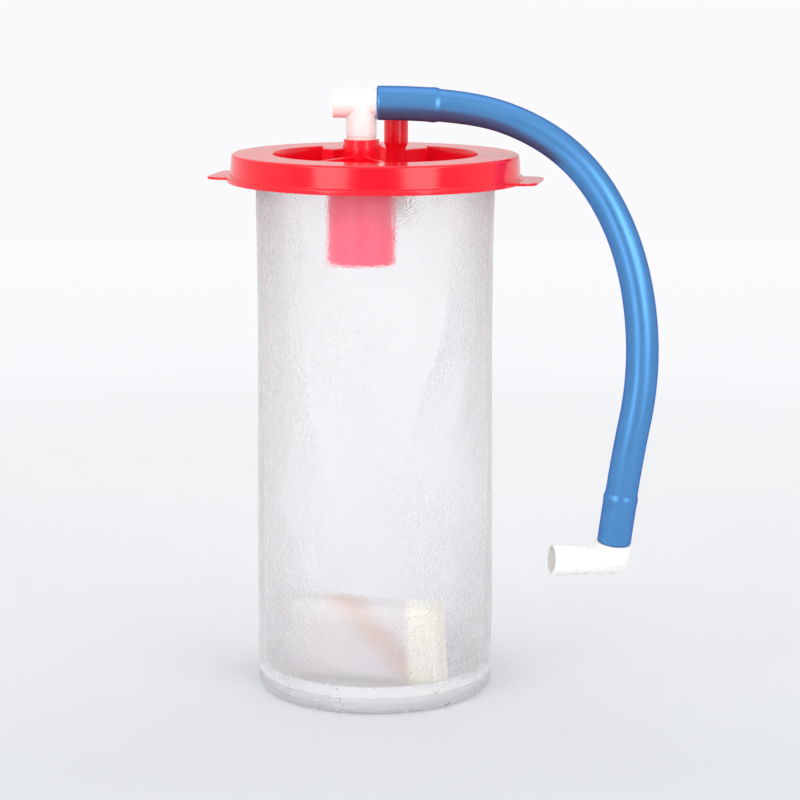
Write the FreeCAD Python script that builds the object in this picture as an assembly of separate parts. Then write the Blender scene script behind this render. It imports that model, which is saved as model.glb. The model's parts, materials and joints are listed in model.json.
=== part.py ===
import FreeCAD, Part
import math
import os

from FreeCAD import Vector

# Suction canister of the liner kind: a film bag welded to a moulded red lid, with a float valve
# under the vacuum port, a tee and a link tube that ends in an elbow.
# Millimetres. The origin is on the bag's axis, at the flat face that the canister rests on.
# +Z is up, +X is the side that the link tube hangs on, and -Y is the front.

# Bag and base
BAG_TOP_R = 52.6            # outside of the film where it leaves the lid
BAG_WAIST_IN = 0.6          # the film draws in by this a little above the middle
BAG_BELLY_OUT = 0.15        # and stands out by this a little lower down
BAG_WAIST_Z = 172.0
BAG_BELLY_Z = 84.0
FILM = 0.5                  # wall of the film bag
BASE_H = 7.6                # height of the smooth base cup
BASE_WALL = 1.0
BASE_EDGE_R = 3.4           # rounded bottom edge
BASE_FOOT_R = 38.0          # the cup's foot is the ring outside this radius
BASE_KICK = 1.2             # height of the raised middle over the foot
BASE_LIP_H = 5.0            # upstand that the film is welded round
BEAD_Z = 4.6                # moulded bead round the cup
BEAD_R = 0.45

# Lid
FLANGE_Z = 227.9            # underside of the flange
FLANGE_T = 2.4
FLANGE_REACH = 1.55         # how far the flange stands out from the rim wall
LID_H = 12.1                # from the flange's underside to the lid's top
LID_WALL = 1.8
RIM_GAP = 9.3               # between the film and the inside of the rim wall, at its root
RIM_DRAFT = 0.74            # how much smaller the rim wall is at its top
RIM_FILLET = 1.3
WELL_DEPTH = 8.4
WELL_DRAFT = 1.6            # how much smaller the well is at its floor
WELL_FILLET = 0.7
WELD_RING_T = 1.5           # ring under the lid that the film is welded round
WELD_RING_LIFT = 0.7        # from the flange's underside up to the ring's foot
RING_CHANNEL = 3.8          # between that ring and the well's wall
RIB_T = 1.7                 # ribs in the well
RIB_ANGLES = (-120.5, -74.0)
TAB_REACH = 7.75            # how far the two pull tabs stand out from the flange
TAB_W = 34.0
TAB_T = 1.15
TAB_TURN = -11.0            # the tabs stand off the X axis by this angle
TAB_CORNER_R = 9.0
# Front corners of the two raised blocks, whose sides run back to the well's wall
LEFT_BLOCK = ((-24.0, 24.6), (-18.8, 19.2), (-14.4, 25.9))
RIGHT_BLOCK = ((2.4, 37.5), (8.2, 19.6), (14.0, 19.6), (23.6, 29.5))

# Vacuum port and what it holds
PORT_X, PORT_Y = -6.1, -9.0
PORT_R = 7.75
PORT_H = 6.9                # above the lid's top
PORT_BORE_R = 6.25
FILTER_H = 3.0
FILTER_LEDGE = 1.6
SEAT_R = 6.6                # nozzle under the floor that the float shuts
SEAT_H = 1.7
SEAT_BORE_R = 3.6
CAGE_R = 14.75
CAGE_WALL = 1.7
CAGE_RING_H = 4.0           # ring under the lid that the cage is pushed on
GRID_T = 2.4
GRID_STEP = 0.8
GRID_HUB_R = 3.2
GRID_SPOKES = 6
GRID_SPOKE_W = 1.8
FLOAT_H = 19.5
FLOAT_WALL = 1.2
FLOAT_TRAVEL = 10.0
SEAL_R = 8.4
SEAL_H = 1.8

# Patient port
PATIENT_X, PATIENT_Y = 9.2, 22.0
PATIENT_R = 5.4
PATIENT_BORE_R = 3.3
PATIENT_H = 22.0            # above the lid's top
PATIENT_NECK_IN = 1.0       # how much narrower its foot is, from the well's floor up to the lid's top
PATIENT_NECK_H = 2.7        # taper over the lid's top, out to the full width
SPOUT_DROP = 9.0            # stub under the floor that the check valve is pushed on
VALVE_WALL = 1.1
VALVE_LIP_H = 11.0
VALVE_LIP_T = 1.6

# Tee
TEE_BAR_R = 6.4
TEE_RISE = 15.6             # from the port's top to the bar's axis
TEE_STUB = 12.4             # from the port's axis to the open end
TEE_LEG_R = 6.6
TEE_STEP = 0.2              # the face that the tube meets stands this far out from the leg
TEE_BORE_R = 4.0
TEE_STUB_BORE_R = 4.4
TEE_STUB_BORE_L = 9.0
TEE_PLUG_GAP = 1.7          # between the leg's end in the port and the filter
TEE_TAPER_H = 1.4

# Link tube
TUBE_R = 7.0
TUBE_BORE_R = 4.8
SPIGOT_BORE_R = 3.3
TEE_SPIGOT_L = 20.0
ELBOW_SPIGOT_L = 17.5
ARC_SHARE = 0.45            # an arc takes this share of the shorter run beside it

# Elbow
ELBOW_BARREL_R = 8.0
ELBOW_DROP = 8.5            # from the tube's end to the leg's axis
ELBOW_LEG_L = 28.2
ELBOW_SOCKET_R = 5.7
ELBOW_MOUTH_WALL = 1.5
ELBOW_FLARE = 1.2           # how much smaller the leg is at its root than at its mouth
ELBOW_SOCKET_L = 20.0
ELBOW_TURN = 14.0           # the leg is turned this far to the front

# Sachet of gelling powder
SACHET_L = 76.0
SACHET_W = 47.0
SACHET_BULGE = 4.4          # half of its thickness in the middle
SACHET_SEAM_W = 4.5
SACHET_SEAM_T = 0.6
SACHET_SLIDE = 1.8          # its middle lies this far to the right of the axis, along its length
SACHET_TURN = -15.0
SACHET_LEAN = 12.0          # its top leans this far to the front

# Clearances
RUN_FIT = 0.05              # radial, round what turns or slides
SEAT_GAP = 0.3              # between bodies that come to rest on each other
FLOAT_GAP = 1.6             # radial, round the float
SACHET_GAP = 0.5            # between the sachet's foremost corner and the film

# Worked out
BAG_WAIST_R = BAG_TOP_R - BAG_WAIST_IN
BAG_BELLY_R = BAG_TOP_R + BAG_BELLY_OUT
WELD_R = BAG_TOP_R - FILM
RIM_ROOT_R = BAG_TOP_R + RIM_GAP + LID_WALL
RIM_TOP_R = RIM_ROOT_R - RIM_DRAFT
FLANGE_R = RIM_ROOT_R + FLANGE_REACH
TAB_R = FLANGE_R + TAB_REACH
WELL_R = WELD_R - WELD_RING_T - RING_CHANNEL - LID_WALL
LID_TOP_Z = FLANGE_Z + LID_H
WELL_FLOOR_Z = LID_TOP_Z - WELL_DEPTH
UNDER_Z = WELL_FLOOR_Z - LID_WALL
LEDGE_Z = UNDER_Z + FILTER_LEDGE
PORT_TOP_Z = LID_TOP_Z + PORT_H
PATIENT_TOP_Z = LID_TOP_Z + PATIENT_H
PATIENT_NECK_R = PATIENT_R - PATIENT_NECK_IN
CAGE_IN_R = CAGE_R - CAGE_WALL
FLOAT_R = CAGE_IN_R - FLOAT_GAP
SEAT_Z = UNDER_Z - SEAT_H
FLOAT_Z = SEAT_Z - SEAT_GAP - FLOAT_TRAVEL - SEAL_H - FLOAT_H
GRID_TOP_Z = FLOAT_Z - SEAT_GAP
CAGE_BOTTOM_Z = GRID_TOP_Z - GRID_T - GRID_STEP
TEE_BAR_Z = PORT_TOP_Z + TEE_RISE
TEE_SHOULDER = TEE_LEG_R + TEE_STEP
TEE_PLUG_L = PORT_TOP_Z - LEDGE_Z - FILTER_H - TEE_PLUG_GAP
ELBOW_MOUTH_R = ELBOW_SOCKET_R + ELBOW_MOUTH_WALL
ELBOW_ROOT_R = ELBOW_MOUTH_R - ELBOW_FLARE
PORT_AXIS = Vector(PORT_X, PORT_Y, 0)
PATIENT_AXIS = Vector(PATIENT_X, PATIENT_Y, 0)
UP = Vector(0, 0, 1)

# The link tube's route, from the tee's face over the arch and down to the elbow
TUBE_ROUTE = (
    Vector(PORT_X + TEE_SHOULDER, PORT_Y, TEE_BAR_Z),
    Vector(38.0, PORT_Y, TEE_BAR_Z),
    Vector(73.0, -12.0, 250.5),
    Vector(97.0, -19.0, 228.5),
    Vector(112.5, -26.0, 193.5),
    Vector(117.0, -31.0, 149.0),
    Vector(108.5, -33.0, 105.0),
    Vector(105.0, -29.5, 72.5),
)


def cylinder(radius, height, foot, axis=UP):
    return Part.makeCylinder(radius, height, foot, axis)


def cone(foot_r, top_r, height, foot, axis=UP):
    return Part.makeCone(foot_r, top_r, height, foot, axis)


def at(axis, z):
    """The point of an upright axis at a height."""
    return Vector(axis.x, axis.y, z)


def turned(edges):
    """The solid that an outline in the XZ half-plane makes, turned round the Z axis."""
    return Part.Face(Part.Wire(edges)).revolve(Vector(), UP, 360)


def run_of_lines(points):
    """Line edges from each (radius, height) point to the next."""
    ends = [Vector(r, 0, z) for r, z in points]
    return [Part.LineSegment(a, b).toShape() for a, b in zip(ends, ends[1:])]


def closed_outline(points):
    return run_of_lines(list(points) + [points[0]])


def circle_edges(shape, radius, z, tolerance=0.02):
    """The full circles of a solid round the Z axis, at a radius and a height."""
    return [
        e for e in shape.Edges
        if isinstance(e.Curve, Part.Circle)
        and abs(e.Curve.Radius - radius) < tolerance
        and abs(e.Curve.Center.z - z) < tolerance
        and math.hypot(e.Curve.Center.x, e.Curve.Center.y) < tolerance
    ]


def bag_side(offset):
    """The film's side from the base cup up to the lid, as one smooth curve."""
    curve = Part.BSplineCurve()
    curve.interpolate([
        Vector(BAG_TOP_R + offset, 0, BASE_H),
        Vector(BAG_BELLY_R + offset, 0, BAG_BELLY_Z),
        Vector(BAG_WAIST_R + offset, 0, BAG_WAIST_Z),
        Vector(BAG_TOP_R + offset, 0, FLANGE_Z),
    ])
    return curve.toShape()


def liner_bag():
    """Film tube, open at both ends: its top goes up inside the lid, round the weld ring."""
    top_z = LID_TOP_Z - LID_WALL
    rim = [(BAG_TOP_R, FLANGE_Z), (BAG_TOP_R, top_z), (WELD_R, top_z), (WELD_R, FLANGE_Z)]
    foot = [(WELD_R, BASE_H), (BAG_TOP_R, BASE_H)]
    return turned([bag_side(0), *run_of_lines(rim), bag_side(-FILM), *run_of_lines(foot)])


def base_dish():
    """Smooth cup that closes the bag: foot ring, raised middle, bead and weld lip."""
    top_z = BASE_H + BASE_LIP_H
    floor_z = BASE_KICK + BASE_WALL
    cup = turned(closed_outline([
        (0, BASE_KICK), (BASE_FOOT_R - BASE_KICK, BASE_KICK), (BASE_FOOT_R, 0), (BAG_TOP_R, 0),
        (BAG_TOP_R, BASE_H), (WELD_R, BASE_H), (WELD_R, top_z), (WELD_R - BASE_WALL, top_z),
        (WELD_R - BASE_WALL, floor_z + BASE_EDGE_R), (WELD_R - BASE_WALL - BASE_EDGE_R, floor_z),
        (0, floor_z),
    ]))
    cup = cup.makeFillet(BASE_EDGE_R, circle_edges(cup, BAG_TOP_R, 0))
    bead = Part.makeTorus(BAG_TOP_R - BEAD_R / 3, BEAD_R, Vector(0, 0, BEAD_Z))
    return cup.fuse(bead).removeSplitter()


def lid_shell():
    """The lid's turned form: flange, rim wall, flat top, well and weld ring."""
    top_in_z = LID_TOP_Z - LID_WALL
    floor_r = WELL_R - WELL_DRAFT
    shell = turned(closed_outline([
        (0, UNDER_Z), (floor_r + LID_WALL, UNDER_Z), (WELL_R + LID_WALL, top_in_z),
        (WELD_R - WELD_RING_T, top_in_z), (WELD_R - WELD_RING_T, FLANGE_Z + WELD_RING_LIFT),
        (WELD_R, FLANGE_Z + WELD_RING_LIFT), (WELD_R, top_in_z),
        (RIM_TOP_R - LID_WALL, top_in_z), (RIM_ROOT_R - LID_WALL, FLANGE_Z),
        (FLANGE_R, FLANGE_Z), (FLANGE_R, FLANGE_Z + FLANGE_T), (RIM_ROOT_R, FLANGE_Z + FLANGE_T),
        (RIM_TOP_R, LID_TOP_Z), (WELL_R, LID_TOP_Z), (floor_r, WELL_FLOOR_Z), (0, WELL_FLOOR_Z),
    ]))
    shell = shell.makeFillet(RIM_FILLET, circle_edges(shell, RIM_TOP_R, LID_TOP_Z))
    soft = circle_edges(shell, WELL_R, LID_TOP_Z) + circle_edges(shell, FLANGE_R, FLANGE_Z + FLANGE_T)
    return shell.makeFillet(WELL_FILLET, soft)


def well_space():
    """The well's own form, a little into its wall, which bounds the blocks and ribs in it."""
    bite = LID_WALL / 2
    return cone(WELL_R - WELL_DRAFT + bite, WELL_R + bite, WELL_DEPTH, Vector(0, 0, WELL_FLOOR_Z))


def pull_tabs():
    """Two thin tongues at the flange, on opposite sides."""
    tabs = []
    foot_z = FLANGE_Z + (FLANGE_T - TAB_T) / 2
    for side in (0, 180):
        tab = Part.makeBox(TAB_R, TAB_W, TAB_T, Vector(0, -TAB_W / 2, foot_z))
        tips = [e for e in tab.Edges if abs(e.Length - TAB_T) < 1e-6 and e.CenterOfMass.x > TAB_R - 0.01]
        tab = tab.makeFillet(TAB_CORNER_R, tips)
        tab = tab.cut(cylinder(RIM_ROOT_R - LID_WALL / 2, TAB_T, Vector(0, 0, foot_z)))
        tab.rotate(Vector(), UP, TAB_TURN + side)
        tabs.append(tab)
    return tabs


def port_rib(angle):
    """A rib from the vacuum port out to the well's wall, level with the lid's top."""
    rib = Part.makeBox(2 * WELL_R, RIB_T, WELL_DEPTH, Vector(0, -RIB_T / 2, WELL_FLOOR_Z))
    rib.rotate(Vector(), UP, angle)
    rib.translate(PORT_AXIS)
    return rib


def raised_block(front):
    """A raised part of the well at the lid's level, cored from below to the lid's wall."""
    back = WELL_R + LID_WALL
    outline = [(front[0][0], back), *front, (front[-1][0], back)]
    corners = [Vector(x, y, WELL_FLOOR_Z) for x, y in outline]
    face = Part.Face(Part.makePolygon(corners + corners[:1]))
    block = face.extrude(Vector(0, 0, WELL_DEPTH)).common(well_space())
    core = face.makeOffset2D(-LID_WALL).extrude(Vector(0, 0, WELL_DEPTH))
    inner = cone(WELL_R - WELL_DRAFT, WELL_R, WELL_DEPTH, Vector(0, 0, WELL_FLOOR_Z))
    core = core.common(inner)
    core.translate(Vector(0, 0, -LID_WALL))
    return block, core


def lid():
    """The one red moulding, with its ports, blocks, ribs, tabs and inner rings."""
    left_block, left_core = raised_block(LEFT_BLOCK)
    right_block, right_core = raised_block(RIGHT_BLOCK)
    solids = [left_block, right_block, *pull_tabs()]
    solids += [port_rib(a).common(well_space()) for a in RIB_ANGLES]
    solids.append(cylinder(PORT_R, PORT_TOP_Z - UNDER_Z, at(PORT_AXIS, UNDER_Z)))
    solids.append(cylinder(SEAT_R, UNDER_Z - SEAT_Z, at(PORT_AXIS, SEAT_Z)))
    ring_r = CAGE_IN_R - RUN_FIT
    ring = cylinder(ring_r, CAGE_RING_H, at(PORT_AXIS, UNDER_Z - CAGE_RING_H))
    solids.append(ring.cut(cylinder(ring_r - LID_WALL, CAGE_RING_H, at(PORT_AXIS, UNDER_Z - CAGE_RING_H))))
    body = lid_shell().cut([left_core, right_core]).fuse(solids).cut([left_core, right_core])
    spout_z = UNDER_Z - SPOUT_DROP
    wide_z = LID_TOP_Z + PATIENT_NECK_H
    spout = [
        cylinder(PATIENT_R, WELL_FLOOR_Z - spout_z, at(PATIENT_AXIS, spout_z)),
        cylinder(PATIENT_NECK_R, WELL_DEPTH, at(PATIENT_AXIS, WELL_FLOOR_Z)),
        cone(PATIENT_NECK_R, PATIENT_R, PATIENT_NECK_H, at(PATIENT_AXIS, LID_TOP_Z)),
        cylinder(PATIENT_R, PATIENT_TOP_Z - wide_z, at(PATIENT_AXIS, wide_z)),
    ]
    holes = [
        cylinder(PORT_BORE_R, PORT_TOP_Z - LEDGE_Z, at(PORT_AXIS, LEDGE_Z)),
        cylinder(SEAT_BORE_R, LEDGE_Z - SEAT_Z, at(PORT_AXIS, SEAT_Z)),
        cylinder(PATIENT_BORE_R, PATIENT_TOP_Z - spout_z, at(PATIENT_AXIS, spout_z)),
    ]
    return body.fuse(spout).cut(holes).removeSplitter()


def port_filter():
    """Porous plug on the ledge in the vacuum port."""
    return cylinder(PORT_BORE_R - RUN_FIT, FILTER_H, at(PORT_AXIS, LEDGE_Z))


def valve_cage():
    """Sleeve that the float rises in, pushed on its ring under the lid."""
    height = UNDER_Z - CAGE_BOTTOM_Z
    sleeve = cylinder(CAGE_R, height, at(PORT_AXIS, CAGE_BOTTOM_Z))
    hollow = cylinder(CAGE_IN_R, height, at(PORT_AXIS, CAGE_BOTTOM_Z))
    lip = cylinder(CAGE_IN_R, GRID_STEP, at(PORT_AXIS, CAGE_BOTTOM_Z))
    lip = lip.cut(cylinder(CAGE_IN_R - GRID_STEP, GRID_STEP, at(PORT_AXIS, CAGE_BOTTOM_Z)))
    return sleeve.cut(hollow).fuse(lip).removeSplitter()


def cage_grid():
    """Spoked disc on the cage's lip, which lets fluid in and holds the float."""
    foot = at(PORT_AXIS, CAGE_BOTTOM_Z + GRID_STEP)
    outer_r = CAGE_IN_R - RUN_FIT
    ring = cylinder(outer_r, GRID_T, foot).cut(cylinder(outer_r - CAGE_WALL, GRID_T, foot))
    spokes = []
    for i in range(GRID_SPOKES):
        spoke = Part.makeBox(outer_r - CAGE_WALL / 2, GRID_SPOKE_W, GRID_T, Vector(0, -GRID_SPOKE_W / 2, 0))
        spoke.rotate(Vector(), UP, 360 / GRID_SPOKES * i)
        spoke.translate(foot)
        spokes.append(spoke)
    return ring.fuse([cylinder(GRID_HUB_R, GRID_T, foot), *spokes]).removeSplitter()


def shutoff_float():
    """Hollow cup, open below, that fluid lifts."""
    foot = at(PORT_AXIS, FLOAT_Z)
    body = cylinder(FLOAT_R, FLOAT_H, foot)
    body = body.makeFillet(FLOAT_WALL, [e for e in body.Edges if isinstance(e.Curve, Part.Circle)])
    return body.cut(cylinder(FLOAT_R - FLOAT_WALL, FLOAT_H - 2 * FLOAT_WALL, foot))


def float_seal():
    """Soft pad on the float that shuts the seat."""
    return cylinder(SEAL_R, SEAL_H, at(PORT_AXIS, FLOAT_Z + FLOAT_H))


def patient_check_valve():
    """Soft duckbill pushed on the stub under the patient port."""
    top_z = UNDER_Z
    spout_z = UNDER_Z - SPOUT_DROP
    outer_r = PATIENT_R + VALVE_WALL

    def beak(radius, half_t, z_low):
        round_top = Part.Wire(Part.makeCircle(radius, at(PATIENT_AXIS, spout_z)))
        slot = Part.makeBox(2 * radius, 2 * half_t, 1, Vector(
            PATIENT_X - radius, PATIENT_Y - half_t, z_low))
        lip = [f for f in slot.Faces if abs(f.CenterOfMass.z - z_low) < 1e-6][0].OuterWire
        return Part.makeLoft([round_top, lip], True, True)

    solid = cylinder(outer_r, top_z - spout_z, at(PATIENT_AXIS, spout_z))
    solid = solid.fuse(beak(outer_r, VALVE_LIP_T, spout_z - VALVE_LIP_H))
    inner = cylinder(PATIENT_R, top_z - spout_z, at(PATIENT_AXIS, spout_z))
    inner = inner.fuse(beak(PATIENT_R, VALVE_LIP_T / 4, spout_z - VALVE_LIP_H))
    return solid.cut(inner)


def tee_connector():
    """Tee with a plug leg for the port, an open stub and a spigot for the tube."""
    bar_l = TEE_STUB + TEE_SHOULDER
    along = Vector(1, 0, 0)
    left = Vector(PORT_X - TEE_STUB, PORT_Y, TEE_BAR_Z)
    face = Vector(PORT_X + TEE_SHOULDER, PORT_Y, TEE_BAR_Z)
    shoulder_z = PORT_TOP_Z + SEAT_GAP
    plug_r = PORT_BORE_R - RUN_FIT
    body = cylinder(TEE_BAR_R, bar_l, left, along).fuse([
        cylinder(TEE_LEG_R, TEE_BAR_Z - shoulder_z - TEE_TAPER_H, at(PORT_AXIS, shoulder_z + TEE_TAPER_H)),
        cone(plug_r, TEE_LEG_R, TEE_TAPER_H, at(PORT_AXIS, shoulder_z)),
        cylinder(plug_r, TEE_PLUG_L + SEAT_GAP, at(PORT_AXIS, PORT_TOP_Z - TEE_PLUG_L)),
        cylinder(TUBE_BORE_R, TEE_SPIGOT_L, face, along),
    ])
    return body.cut([
        cylinder(TEE_STUB_BORE_R, TEE_STUB_BORE_L, left, along),
        cylinder(SPIGOT_BORE_R, bar_l + TEE_SPIGOT_L, left, along),
        cylinder(TEE_BORE_R, TEE_BAR_Z - PORT_TOP_Z + TEE_PLUG_L, at(PORT_AXIS, PORT_TOP_Z - TEE_PLUG_L)),
    ]).removeSplitter()


def route_wire(points):
    """Straight runs joined by tangent arcs, each as large as its two runs allow."""
    edges = []
    start = points[0]
    for before, corner, after in zip(points, points[1:], points[2:]):
        run_in, run_out = corner - before, after - corner
        turn = run_in.getAngle(run_out)
        reach = ARC_SHARE * min(run_in.Length, run_out.Length)
        radius = reach / math.tan(turn / 2)
        print(f"tube bend radius {radius:.1f} mm, turn {math.degrees(turn):.1f} degrees")
        enter = corner - run_in.normalize() * reach
        leave = corner + run_out.normalize() * reach
        inward = (enter + leave) * 0.5 - corner
        middle = corner + inward.normalize() * (radius / math.cos(turn / 2) - radius)
        edges.append(Part.LineSegment(start, enter).toShape())
        edges.append(Part.Arc(enter, middle, leave).toShape())
        start = leave
    edges.append(Part.LineSegment(start, points[-1]).toShape())
    return Part.Wire(edges)


def suction_tube():
    """The link tube, at its real length, from the tee to the elbow."""
    path = route_wire(list(TUBE_ROUTE))
    along = Vector(1, 0, 0)

    def swept(radius):
        ring = Part.Wire(Part.makeCircle(radius, TUBE_ROUTE[0], along))
        return path.makePipeShell([ring], True, True)

    tube = swept(TUBE_R).cut(swept(TUBE_BORE_R))
    section = math.pi * (TUBE_R ** 2 - TUBE_BORE_R ** 2)
    print(f"tube length {path.Length:.1f} mm, volume over section times length "
          f"{tube.Volume / (section * path.Length):.4f}")
    return tube


def elbow_placement():
    """Where the elbow's own frame lies: its +Z goes up into the tube, its +X out along the leg."""
    up = (TUBE_ROUTE[-2] - TUBE_ROUTE[-1]).normalize()
    side = Vector(-1, 0, 0)
    side = (side - up * side.dot(up)).normalize()
    front = up.cross(side)
    turn = math.radians(ELBOW_TURN)
    leg = side * math.cos(turn) + front * math.sin(turn)
    corner = TUBE_ROUTE[-1] - up * (ELBOW_DROP + SEAT_GAP)
    return FreeCAD.Placement(corner, FreeCAD.Rotation(leg, up.cross(leg), up, "ZXY"))


def elbow_connector():
    """Elbow with a spigot up into the tube and a flared leg with a socket."""
    along = Vector(1, 0, 0)
    barrel_foot = Vector(0, 0, -ELBOW_ROOT_R)
    barrel = cylinder(ELBOW_BARREL_R, ELBOW_DROP + ELBOW_ROOT_R, barrel_foot)
    wedge = Part.makePolygon([
        Vector(-ELBOW_BARREL_R, -ELBOW_BARREL_R, ELBOW_DROP / 4),
        Vector(-ELBOW_BARREL_R, -ELBOW_BARREL_R, -ELBOW_ROOT_R),
        Vector(-ELBOW_BARREL_R / 2, -ELBOW_BARREL_R, -ELBOW_ROOT_R),
        Vector(-ELBOW_BARREL_R, -ELBOW_BARREL_R, ELBOW_DROP / 4),
    ])
    wedge = Part.Face(wedge).extrude(Vector(0, 2 * ELBOW_BARREL_R, 0))
    belly = cylinder(ELBOW_ROOT_R, 2 * ELBOW_BARREL_R, Vector(-ELBOW_BARREL_R, 0, 0), along)
    keep = belly.fuse(Part.makeBox(
        2 * ELBOW_BARREL_R, 2 * ELBOW_BARREL_R, ELBOW_DROP, Vector(-ELBOW_BARREL_R, -ELBOW_BARREL_R, 0)))
    body = barrel.common(keep).cut(wedge).fuse([
        cone(ELBOW_ROOT_R, ELBOW_MOUTH_R, ELBOW_LEG_L, Vector(), along),
        cylinder(TUBE_BORE_R - RUN_FIT, ELBOW_SPIGOT_L + SEAT_GAP, Vector(0, 0, ELBOW_DROP)),
    ])
    body = body.cut([
        cylinder(ELBOW_SOCKET_R, ELBOW_SOCKET_L, Vector(ELBOW_LEG_L - ELBOW_SOCKET_L, 0, 0), along),
        cylinder(SPIGOT_BORE_R, ELBOW_LEG_L, Vector(), along),
        cylinder(SPIGOT_BORE_R, ELBOW_DROP + ELBOW_SPIGOT_L + SEAT_GAP, Vector()),
    ]).removeSplitter()
    body.Placement = elbow_placement()
    return body


def gel_sachet():
    """Sealed pillow pack on its long edge, with a flat seam all round."""
    half_l = SACHET_L / 2 - SACHET_SEAM_W
    half_w = SACHET_W / 2 - SACHET_SEAM_W
    pillow = None
    for half, other, along in ((half_l, half_w, Vector(0, 1, 0)), (half_w, half_l, Vector(1, 0, 0))):
        radius = (half ** 2 + SACHET_BULGE ** 2) / (2 * SACHET_BULGE)
        for side in (1, -1):
            middle = Vector(0, 0, side * (SACHET_BULGE - radius))
            roll = cylinder(radius, 4 * SACHET_L, middle - along * (2 * SACHET_L), along)
            pillow = roll if pillow is None else pillow.common(roll)
    seam = Part.makeBox(SACHET_L, SACHET_W, SACHET_SEAM_T,
                        Vector(-SACHET_L / 2, -SACHET_W / 2, -SACHET_SEAM_T / 2))
    pack = pillow.fuse(seam)
    lean = FreeCAD.Rotation(Vector(1, 0, 0), 90 + SACHET_LEAN)
    turn = FreeCAD.Rotation(UP, SACHET_TURN)
    pack.Placement = FreeCAD.Placement(Vector(), turn.multiply(lean))
    low = pack.optimalBoundingBox().ZMin
    ahead = math.sqrt((WELD_R - SACHET_GAP) ** 2 - (SACHET_L / 2 + SACHET_SLIDE) ** 2)
    ahead -= SACHET_W / 2 * math.sin(math.radians(SACHET_LEAN))
    place = turn.multVec(Vector(SACHET_SLIDE, -ahead, BASE_KICK + BASE_WALL - low + RUN_FIT))
    pack.translate(place)
    return pack


PARTS = {
    "lid": lid,
    "liner_bag": liner_bag,
    "base_dish": base_dish,
    "port_filter": port_filter,
    "valve_cage": valve_cage,
    "cage_grid": cage_grid,
    "shutoff_float": shutoff_float,
    "float_seal": float_seal,
    "patient_check_valve": patient_check_valve,
    "tee_connector": tee_connector,
    "suction_tube": suction_tube,
    "elbow_connector": elbow_connector,
    "gel_sachet": gel_sachet,
}

os.makedirs("parts", exist_ok=True)
for node, make in PARTS.items():
    solid = make()
    solid.exportStep(f"parts/{node}.step")
    box = solid.BoundBox
    print(f"{node}: {len(solid.Solids)} solid, valid {solid.isValid()}, volume {solid.Volume:.0f} mm3, "
          f"x {box.XMin:.1f} to {box.XMax:.1f}, y {box.YMin:.1f} to {box.YMax:.1f}, "
          f"z {box.ZMin:.1f} to {box.ZMax:.1f}")
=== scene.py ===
"""Dressed model of a suction canister of the liner kind, built round its packed construction.

Lengths in the classes below are millimetres, as on the object's drawing; meshes are made in metres.
"""

import json
import logging
import math
from dataclasses import dataclass
from enum import Enum
from typing import Sequence

import bmesh
import bpy
import numpy as np
from mathutils import Matrix, Vector

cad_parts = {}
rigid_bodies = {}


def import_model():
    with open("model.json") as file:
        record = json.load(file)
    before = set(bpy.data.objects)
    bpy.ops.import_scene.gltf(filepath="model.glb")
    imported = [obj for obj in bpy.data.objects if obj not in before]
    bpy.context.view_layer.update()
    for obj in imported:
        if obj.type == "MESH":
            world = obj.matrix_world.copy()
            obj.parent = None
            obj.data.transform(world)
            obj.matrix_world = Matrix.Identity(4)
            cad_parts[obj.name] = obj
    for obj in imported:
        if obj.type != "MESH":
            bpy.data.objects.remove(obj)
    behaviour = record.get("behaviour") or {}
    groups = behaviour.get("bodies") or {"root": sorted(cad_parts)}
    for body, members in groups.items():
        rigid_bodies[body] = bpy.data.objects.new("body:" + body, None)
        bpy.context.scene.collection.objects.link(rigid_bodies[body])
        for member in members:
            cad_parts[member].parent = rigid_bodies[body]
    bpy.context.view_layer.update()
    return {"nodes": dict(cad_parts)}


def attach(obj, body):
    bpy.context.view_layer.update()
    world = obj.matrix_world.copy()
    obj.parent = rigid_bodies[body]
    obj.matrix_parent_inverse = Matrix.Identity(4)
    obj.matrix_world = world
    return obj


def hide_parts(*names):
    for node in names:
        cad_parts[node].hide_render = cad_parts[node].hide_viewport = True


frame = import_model()

MM = 0.001
PLASTIC_IOR = 1.5
LOG = logging.getLogger("suction_canister")


class Body(Enum):
    """The bodies that pieces ride on."""

    CANISTER = "canister"
    FLOAT = "float"
    TEE = "tee"
    ELBOW = "elbow"


class Slot(Enum):
    """The record's material slots."""

    LID = "lid_red"
    CAGE = "cage_red"
    FILM = "film"
    BASE = "base_clear"
    FILTER = "filter_white"
    FLOAT = "float_white"
    SEAL = "soft_seal"
    CONNECTOR = "connector_white"
    TUBE = "tube_blue"
    SACHET = "sachet_film"


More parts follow.
